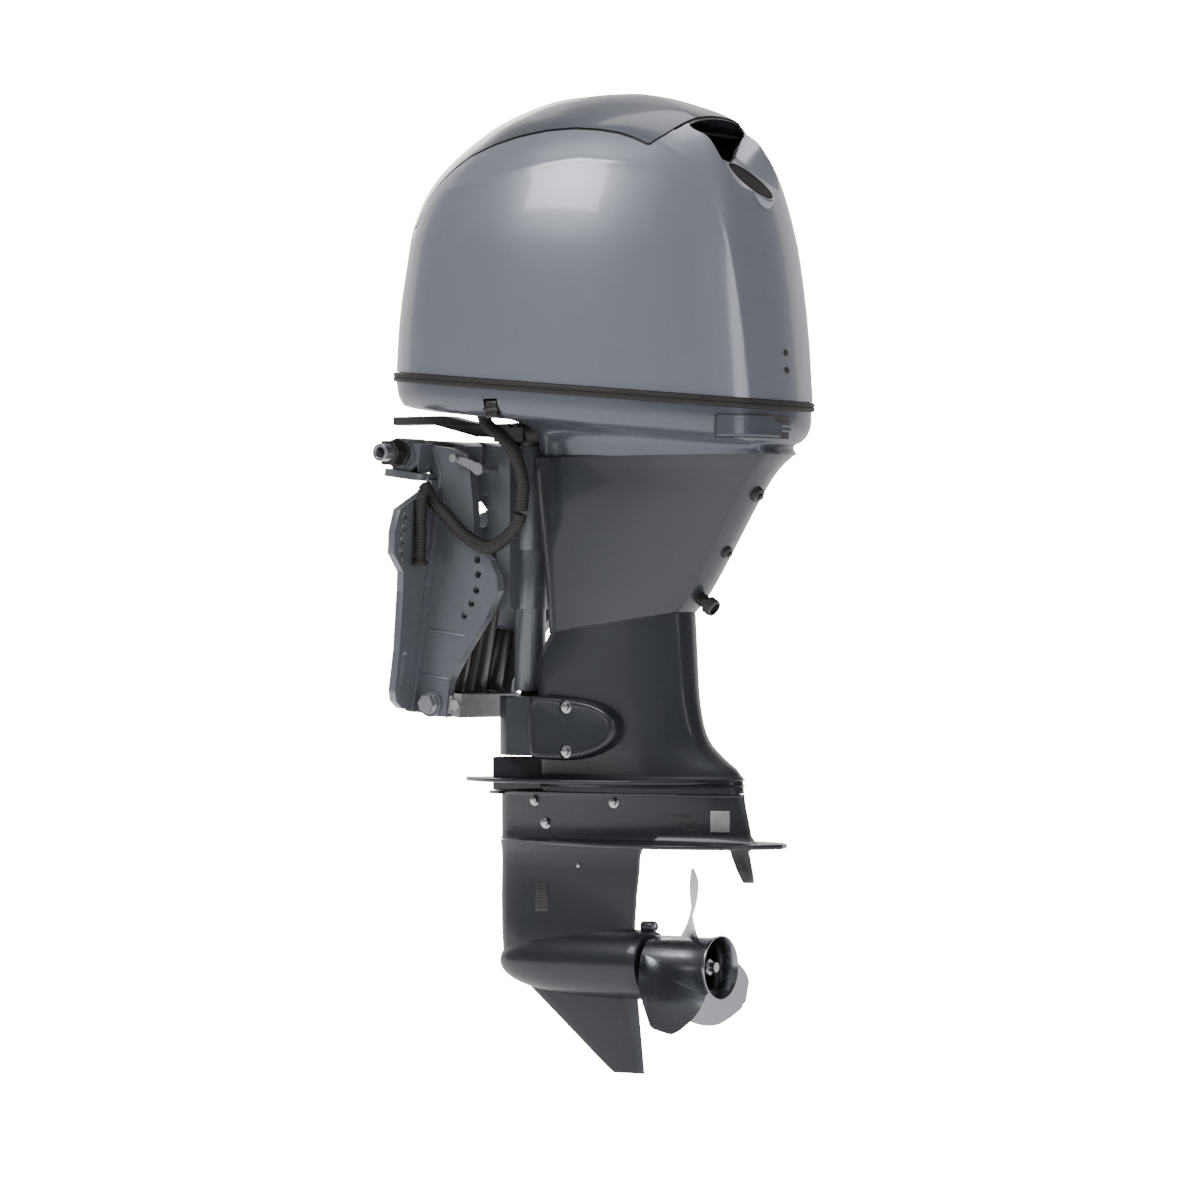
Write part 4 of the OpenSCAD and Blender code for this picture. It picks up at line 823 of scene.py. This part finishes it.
def strut_point_y(x, z):
    k = next((i for i in range(len(neck_levels) - 1) if neck_levels[i][3] >= z >= neck_levels[i + 1][3]), 0)
    a, b = neck_levels[k], neck_levels[k + 1]
    f = (a[3] - z) / (a[3] - b[3])
    sec = [p + (q - p) * f for p, q in zip(a, b)]
    want = (x - sec[0]) / (sec[1] - sec[0])
    for i in range(700):
        p = spline(strut_plan, 7 * i / 700)
        if p[0] >= want:
            return p[1] * sec[2]
    return 0


def make_lower():
    bm = bmesh.new()
    add_turned(bm, (0, 0, PROP_Z), (1, 0, 0),
               [(r, x) for x, r in bullet] + [(39.6, 357), (39.6, 300), (0, 300)], 72)
    pl = blunt_plan(strut_plan, 60)
    add_rings(bm, [[place(s, p) for p in pl] for s in strut_levels])
    add_rings(bm, [[place(s, p) for p in pl] for s in neck_levels])
    half = [spline(av_plan, 7 * i / 60) for i in range(61)]
    both = half + [[p[0], -p[1]] for p in half[-2:0:-1]]

    def av_ring(ins, z):
        return [(150 + ins + (427 - 2 * ins) * p[0], (104 - ins) * p[1], z) for p in both]
    add_rings(bm, [av_ring(2.4, -567), av_ring(0.8, -566.3), av_ring(0, -564.8), av_ring(0, -562.2),
                   av_ring(0.8, -560.7), av_ring(2.4, -560)])
    # lip at the parting line
    lip = [[96.5, 509.5, 46.5, -490, -490], [95.8, 510.2, 47.2, -490.6, -490.6],
           [95.8, 510.2, 47.2, -493.4, -493.4], [97.5, 509.5, 46, -495, -495]]
    add_rings(bm, [[place(s, p) for p in pl] for s in lip])
    add_prism(bm, [(70, 0), (80, 11), (92, 20), (112, 34), (112, -34), (92, -20), (80, -11)],
              lambda u, v, w: (u, v, w), -495, -490.5, 1)
    # skeg: a thin foil, rounded in front and sharp behind
    rings = []
    for k in range(13):
        f = k / 12
        z = -745 - 150 * f if k < 12 else -894
        x0 = 108 + (290 - 108) * f
        x1 = 327 + (343 - 327) * f
        t = (5.0 - 2.2 * f) * (1 if k < 12 else 0.55)
        shape = [(0, 0), (0.01, 0.45), (0.05, 0.85), (0.15, 1), (0.5, 0.95), (0.8, 0.6), (1, 0.18)]
        h = [(x0 + (x1 - x0) * a, t * b) for a, b in shape]
        rings.append([(x, y, z) for x, y in h] + [(x, -y, z) for x, y in h[:0:-1]])
    add_rings(bm, rings)
    # lug for the carrier's bolt
    add_turned(bm, (0, 0, PROP_Z + 55), (1, 0, 0), rod_profile(8, 340, 361.5, 1.5), 32)
    case = finish_mesh("lower_case_skin", bm, "casting_paint", None, ["lower_case"], sharp=40)
    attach(case, "engine")

    # anodes, screens and bolts
    bm = bmesh.new()
    for side in (-1, 1):
        add_prism(bm, [(468, 14), (468, 20.2), (482, 17), (496, 13.3), (496, 8)],
                  lambda u, v, w: (u, side * v, w), -544.5, -513.5, 1.2)
    finish_mesh("side_anodes", bm, "zinc", "engine", ["lower_case_fittings"])
    bm = bmesh.new()
    for side in (-1, 1):
        add_prism(bm, [(172, -664), (194, -664), (194, -622), (172, -622)],
                  lambda u, v, w: (u, side * w, v), 22, 28.2, 0.8)
        for k in range(9):
            z = -659.5 + k * 4.2
            add_prism(bm, [(174, z), (192, z), (192, z + 1.8), (174, z + 1.8)],
                      lambda u, v, w: (u, side * w, v), 27, 29.4, 0.5)
    finish_mesh("inlet_screens", bm, "black_plastic", "engine")
    bm = bmesh.new()
    for side in (-1, 1):
        for x, z, r in ((178, -502, 6), (318, -503, 6), (196, -534, 6.5)):
            y = strut_point_y(x, z) - 1.5
            add_bolt(bm, (x, side * y, z), (0, side, 0), r, 5, 1.5)
        add_turned(bm, (245, side * 22.5, -596), (0, side, 0), rod_profile(3.2, 0, 3.6, 0.8), 24)
    add_bolt(bm, (361.4, 0, PROP_Z + 55), (1, 0, 0), 5, 3, 0.6)
    finish_mesh("case_bolts", bm, "steel", "engine")
    # the water outlet slots are black blocks nearly flush with the casting: their black paints the shade inside
    # the openings
    bm = bmesh.new()
    for side in (-1, 1):
        for k, z in enumerate((-522, -532, -542)):
            x0, x1 = 411 + k * 8, 440 + k * 4
            y0, y1 = strut_point_y(x0, z), strut_point_y(x1, z)
            add_prism(bm, [(x0, y0 - 3), (x0, y0 + 0.35), (x1, y1 + 0.35), (x1, y1 - 3)],
                      lambda u, v, w: (u, side * v, w), z - 1.6, z + 1.6, 0.25)
    finish_mesh("water_outlet_slots", bm, "black_plastic", "engine")

    # trim tab: a cast fin under its round foot
    bm = bmesh.new()
    add_turned(bm, (506, 0, -571.5), (0, 0, 1), rod_profile(15, 0, 4, 0.8), 40)
    rings = []
    for z, x0, x1, t in ((-571, 490, 520, 4.5), (-580, 493, 522.4, 4.4), (-596, 500, 526, 3.8),
                         (-610, 507.5, 528.8, 3.2), (-614.5, 510.5, 529.4, 2.4), (-616, 512, 528.6, 1.2)):
        h = [(x0, 0), (x0 + 0.6, t * 0.6), (x0 + 3, t), (x0 + (x1 - x0) * 0.6, t * 0.8), (x1, t * 0.25)]
        rings.append([(x, y, z) for x, y in h] + [(x, -y, z) for x, y in h[:0:-1]])
    add_rings(bm, rings)
    finish_mesh("trim_tab_fin", bm, "black_steel", "trim_tab", ["trim_tab"])


make_lower()


# ---------- propeller ----------
PROP_R, PITCH, HUB_R, HUB_X0, HUB_X1, BLADE_X = 140, 330, 43, 362, 474, 414


def blade_rings(angle, steps=26):
    """Sections of one blade from root to tip on a helix of the pitch, as in the CAD, with thicker roots."""
    out = []
    for k in range(steps + 1):
        s = k / steps
        r = 40 + (PROP_R - 40) * s
        chord = 118 * math.sqrt(max(1 - (s * 1.06 - 0.32) ** 2 * 1.75, 0.02))
        chord *= 1 - (s - 0.85) * 3.4 if s > 0.85 else 1
        a = math.atan(PITCH / (2 * pi * r))
        thick = 3.4 - 2.2 * s + (4.5 * (1 - s / 0.12) ** 2 if s < 0.12 else 0)
        ring = []
        m = 18
        for j in list(range(m + 1)) + [-j for j in range(m - 1, 0, -1)]:
            c = abs(j) / m
            e = c - 0.5
            sign = 1 if j >= 0 else -1
            foil = 1.9 * math.sqrt(max(c, 0)) * (1 - c) ** 0.8 if c < 1 else 0
            t = thick * sign * (foil if sign > 0 else 0.45 * foil) + 0.01 * sign
            t += 3.0 * (1 - 4 * e * e) * s * 0.6
            q = chord * e
            x = q * sin(a) - t * cos(a) + 18 * s
            w = -((q * cos(a) + t * sin(a)) / r + math.radians(10 * s * s))
            y, z = r * sin(w), r * cos(w)
            g = math.radians(angle)
            ring.append((BLADE_X + x, y * cos(g) - z * sin(g), PROP_Z + y * sin(g) + z * cos(g)))
        out.append(ring)
    return out


def make_propeller():
    bm = bmesh.new()
    span = HUB_X1 - HUB_X0
    add_turned(bm, (HUB_X0, 0, PROP_Z), (1, 0, 0),
               [(HUB_R - 5, 0.2), (HUB_R - 1.2, 0), (HUB_R - 0.2, 0.8), (HUB_R, 2.5), (HUB_R, 40),
                (HUB_R - 0.6, 70), (HUB_R - 1, 84), (HUB_R - 0.4, 96), (HUB_R + 1.4, span - 6),
                (HUB_R + 2.8, span - 1), (HUB_R + 2.4, span), (HUB_R + 1, span - 0.3), (HUB_R - 2.8, span - 8),
                (HUB_R - 4.8, span - 22),
                (HUB_R - 5, 84), (HUB_R - 5, 20), (22, 17), (21, 18), (21, 76), (20, 77), (9.3, 77), (9.3, 60),
                (9.3, 30), (9.3, 15), (24, 13), (HUB_R - 6, 12), (HUB_R - 5, 8)], 96)
    for a in (20, 140, 260):
        g = math.radians(a)
        rot = Matrix.Rotation(g, 3, "X")
        add_prism(bm, [(-3, 19), (3, 19), (3, HUB_R - 4), (-3, HUB_R - 4)],
                  lambda u, v, w: Vector((HUB_X0 + w, 0, PROP_Z)) + rot @ Vector((0, u, v)), 20, 74, 1.2)
    for k in range(3):
        add_rings(bm, blade_rings(k * 120 - 6))
    finish_mesh("propeller_skin", bm, "polished_steel", "propeller", ["propeller"], sharp=50,
                look="propeller_steel")


make_propeller()


# ---------- harness and hoses ----------
upper_route = [(132, -104, 66), (134, -104, 52), (142, -104, 37), (165, -106, 23), (186, -108, 4),
               (200, -109, -22), (207, -110, -50), (203, -109, -86)]
lower_route = [(202, -109, -91), (196.5, -108.4, -104), (182, -107, -119), (159, -105, -133),
               (139, -104, -137), (116, -104, -129), (94, -106, -114), (74, -112, -91), (55, -120, -69),
               (38, -117, -47)]
drain_route = [(54, -142, -56), (50, -141, -74), (45, -136, -112), (40, -130, -158)]


ROUTE_STEP, RIB_PITCH, RIB_DEPTH = 0.8, 4.4, 0.55


def add_corrugated(bm, pts, r):
    """A ribbed tube along points ROUTE_STEP apart."""
    turn = 2 * pi * ROUTE_STEP / RIB_PITCH
    add_tube(bm, pts, lambda i: r - RIB_DEPTH + RIB_DEPTH * max(-0.6, cos(turn * i)), 28)


def harness_sleeve(name, route, r, node):
    """A ribbed length of the harness along the route, in place of the CAD's node."""
    pts, _ = route_points(route, ROUTE_STEP)
    bm = bmesh.new()
    add_corrugated(bm, pts, r)
    o = finish_mesh(name, bm, "black_rubber", None, [node], sharp=70)
    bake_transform(o)


def make_hoses():
    harness_sleeve("harness_sleeve_upper", upper_route, 10, "harness_upper")
    harness_sleeve("harness_sleeve_lower", lower_route, 10, "harness_lower")
    pts, _ = route_points(drain_route, ROUTE_STEP)
    bm = bmesh.new()
    add_corrugated(bm, pts, 9)
    add_turned(bm, (40, -130, -164), (0, 0, 1), [(0, 0), (9, 0), (11, 1.5), (11, 6.5), (10, 8), (0, 8)], 32)
    finish_mesh("drain_hose_tube", bm, "black_rubber", "clamp", ["drain_hose"])


make_hoses()


# ---------- details on the clamp and swivel ----------
LEAN = math.radians(8)


def from_transom(x, y, z):
    return (x * cos(LEAN) + z * sin(LEAN), y, -x * sin(LEAN) + z * cos(LEAN))


def make_clamp_details():
    for side, label in ((-1, "port"), (1, "starboard")):
        bm = bmesh.new()
        # raised rim along the plate's front upper curve and the edge of the boss
        curve = [(23, 17), (33, 8), (40, -4), (46, -13), (49, -21), (50, -32), (49, -44)]
        pts = [Vector(spline(curve, 6 * i / 40)) for i in range(41)]
        tube = [Vector(from_transom(p[0], side * 88.2, p[1])) for p in pts]
        add_tube(bm, tube, 2.6, 14)
        # ribs on the side plate
        for a, b in (((60, -60), (104, -118)), ((60, -250), (124, -250)), ((56, -316), (104, -316))):
            seg = [Vector(from_transom(a[0] + (b[0] - a[0]) * i / 12, side * 88, a[1] + (b[1] - a[1]) * i / 12))
                   for i in range(13)]
            add_tube(bm, seg, lambda i: 2.4 * math.sqrt(max(1 - ((i - 6) / 6.2) ** 4, 0.02)), 12)
        # the ribs take the lighter copy of the casting paint, which paints light on them
        finish_mesh("clamp_ribs_" + label, bm, "casting_paint", "clamp", look="bracket_paint_with_painted_light")


make_clamp_details()

for label in ("clamp_bracket_port", "clamp_bracket_starboard", "swivel_bracket", "steering_bracket", "lower_yoke",
              "tilt_tube_nuts", "bracket_anode", "tilt_support_lever", "trim_pivot_shaft", "trim_cylinder",
              "trim_motor", "trim_rod", "trim_rod_pin", "tilt_tube", "cylinder_block", "crankcase",
              "cylinder_head", "head_cover", "intake_manifold", "starter_motor", "oil_filter", "control_unit"):
    o = frame["nodes"][label]
    weld = o.modifiers.new("weld", "WELD")
    weld.merge_threshold = 1e-5
    flat = o.modifiers.new("flat", "DECIMATE")
    flat.decimate_type = "DISSOLVE"
    flat.angle_limit = math.radians(0.5)
    bev = o.modifiers.new("edge", "BEVEL")
    bev.width = 0.0016 if "bracket" in label else 0.0009
    bev.segments = 2
    bev.limit_method = "ANGLE"
    bev.angle_limit = math.radians(35)
    bev.harden_normals = True

slots = {s["node"]: s["material_slot"] for s in frame["record"]["subparts"]}
# the clamp and swivel brackets take the lighter copy of the casting paint, which paints light on them
slots.update(steering_bracket="black_steel", tilt_tube_nuts="black_steel", clamp_bracket_port="bracket_paint_with_painted_light",
             clamp_bracket_starboard="bracket_paint_with_painted_light", swivel_bracket="bracket_paint_with_painted_light")
for label, o in frame["nodes"].items():
    o.data.materials.clear()
    o.data.materials.append(MATS[slots[label]])
MATS["badge_black"].node_tree.nodes["Principled BSDF"].inputs["Specular IOR Level"].default_value = 0.12


# ---------- stage ----------
def make_stage():
    bm = bmesh.new()
    rows = []
    for i in range(25):
        if i < 12:
            y, z = -6 + i * 0.75, 0
        else:
            a = (i - 12) / 12 * pi / 2
            y, z = 3 + 3 * sin(a), 3 - 3 * cos(a)
        rows.append((y, z))
    rows.append((6, 8))
    verts = [[bm.verts.new((x, y, z)) for x in (-9, 9)] for y, z in rows]
    for a, b in zip(verts, verts[1:]):
        bm.faces.new((a[0], a[1], b[1], b[0]))
    me = bpy.data.meshes.new("floor")
    bm.to_mesh(me)
    bm.free()
    me.shade_smooth()
    m = material("floor", (0.9, 0.9, 0.9), 0, 0.9, 0.01, 2, 0.02, 80, 0.01)
    nt = m.node_tree
    bsdf = nt.nodes["Principled BSDF"]
    bsdf.inputs["Emission Color"].default_value = (1, 1, 1, 1)
    # white to the eye, softer in reflections
    seen = add(nt, "ShaderNodeLightPath")
    glow = add(nt, "ShaderNodeMapRange")
    glow.inputs["To Min"].default_value = 0.7
    glow.inputs["To Max"].default_value = 18
    nt.links.new(seen.outputs["Is Camera Ray"], glow.inputs["Value"])
    nt.links.new(glow.outputs[0], bsdf.inputs["Emission Strength"])
    me.materials.append(m)
    o = bpy.data.objects.new("floor", me)
    bpy.context.scene.collection.objects.link(o)
    o.rotation_euler = (0, 0, VIEW_AZIMUTH)
    o.location = (VIEW_MID.x, 0, -0.912)

    def area(name, loc, target, size, power, size_y=None):
        l = bpy.data.lights.new(name, "AREA")
        l.energy = power
        l.size = size
        if size_y:
            l.shape = "RECTANGLE"
            l.size_y = size_y
        q = bpy.data.objects.new(name, l)
        q.location = loc
        q.rotation_euler = (Vector(target) - Vector(loc)).to_track_quat("-Z", "Y").to_euler()
        bpy.context.scene.collection.objects.link(q)
    mid = (0.26, 0, -0.2)
    area("key", (-0.9, -2.9, 2.6), (0.25, 0, 0.1), 1.6, 95)
    area("fill", (3.6, -1.6, 0.9), mid, 1.8, 28)
    area("rim", (-2.4, 1.8, 1.6), mid, 1.6, 40)
    area("top", (0.3, 0.2, 3.0), mid, 2.0, 45)
    w = bpy.data.worlds.new("world")
    bpy.context.scene.world = w
    w.use_nodes = True
    nt = w.node_tree
    bg = nt.nodes["Background"]
    tc = nt.nodes.new("ShaderNodeTexCoord")
    sep = nt.nodes.new("ShaderNodeSeparateXYZ")
    ramp = nt.nodes.new("ShaderNodeValToRGB")
    nt.links.new(tc.outputs["Generated"], sep.inputs[0])
    nt.links.new(sep.outputs["Z"], ramp.inputs[0])
    ramp.color_ramp.elements[0].color = (0.25, 0.25, 0.27, 1)
    ramp.color_ramp.elements[1].color = (1, 1, 1, 1)
    nt.links.new(ramp.outputs[0], bg.inputs["Color"])
    bg.inputs["Strength"].default_value = 0.4


make_stage()
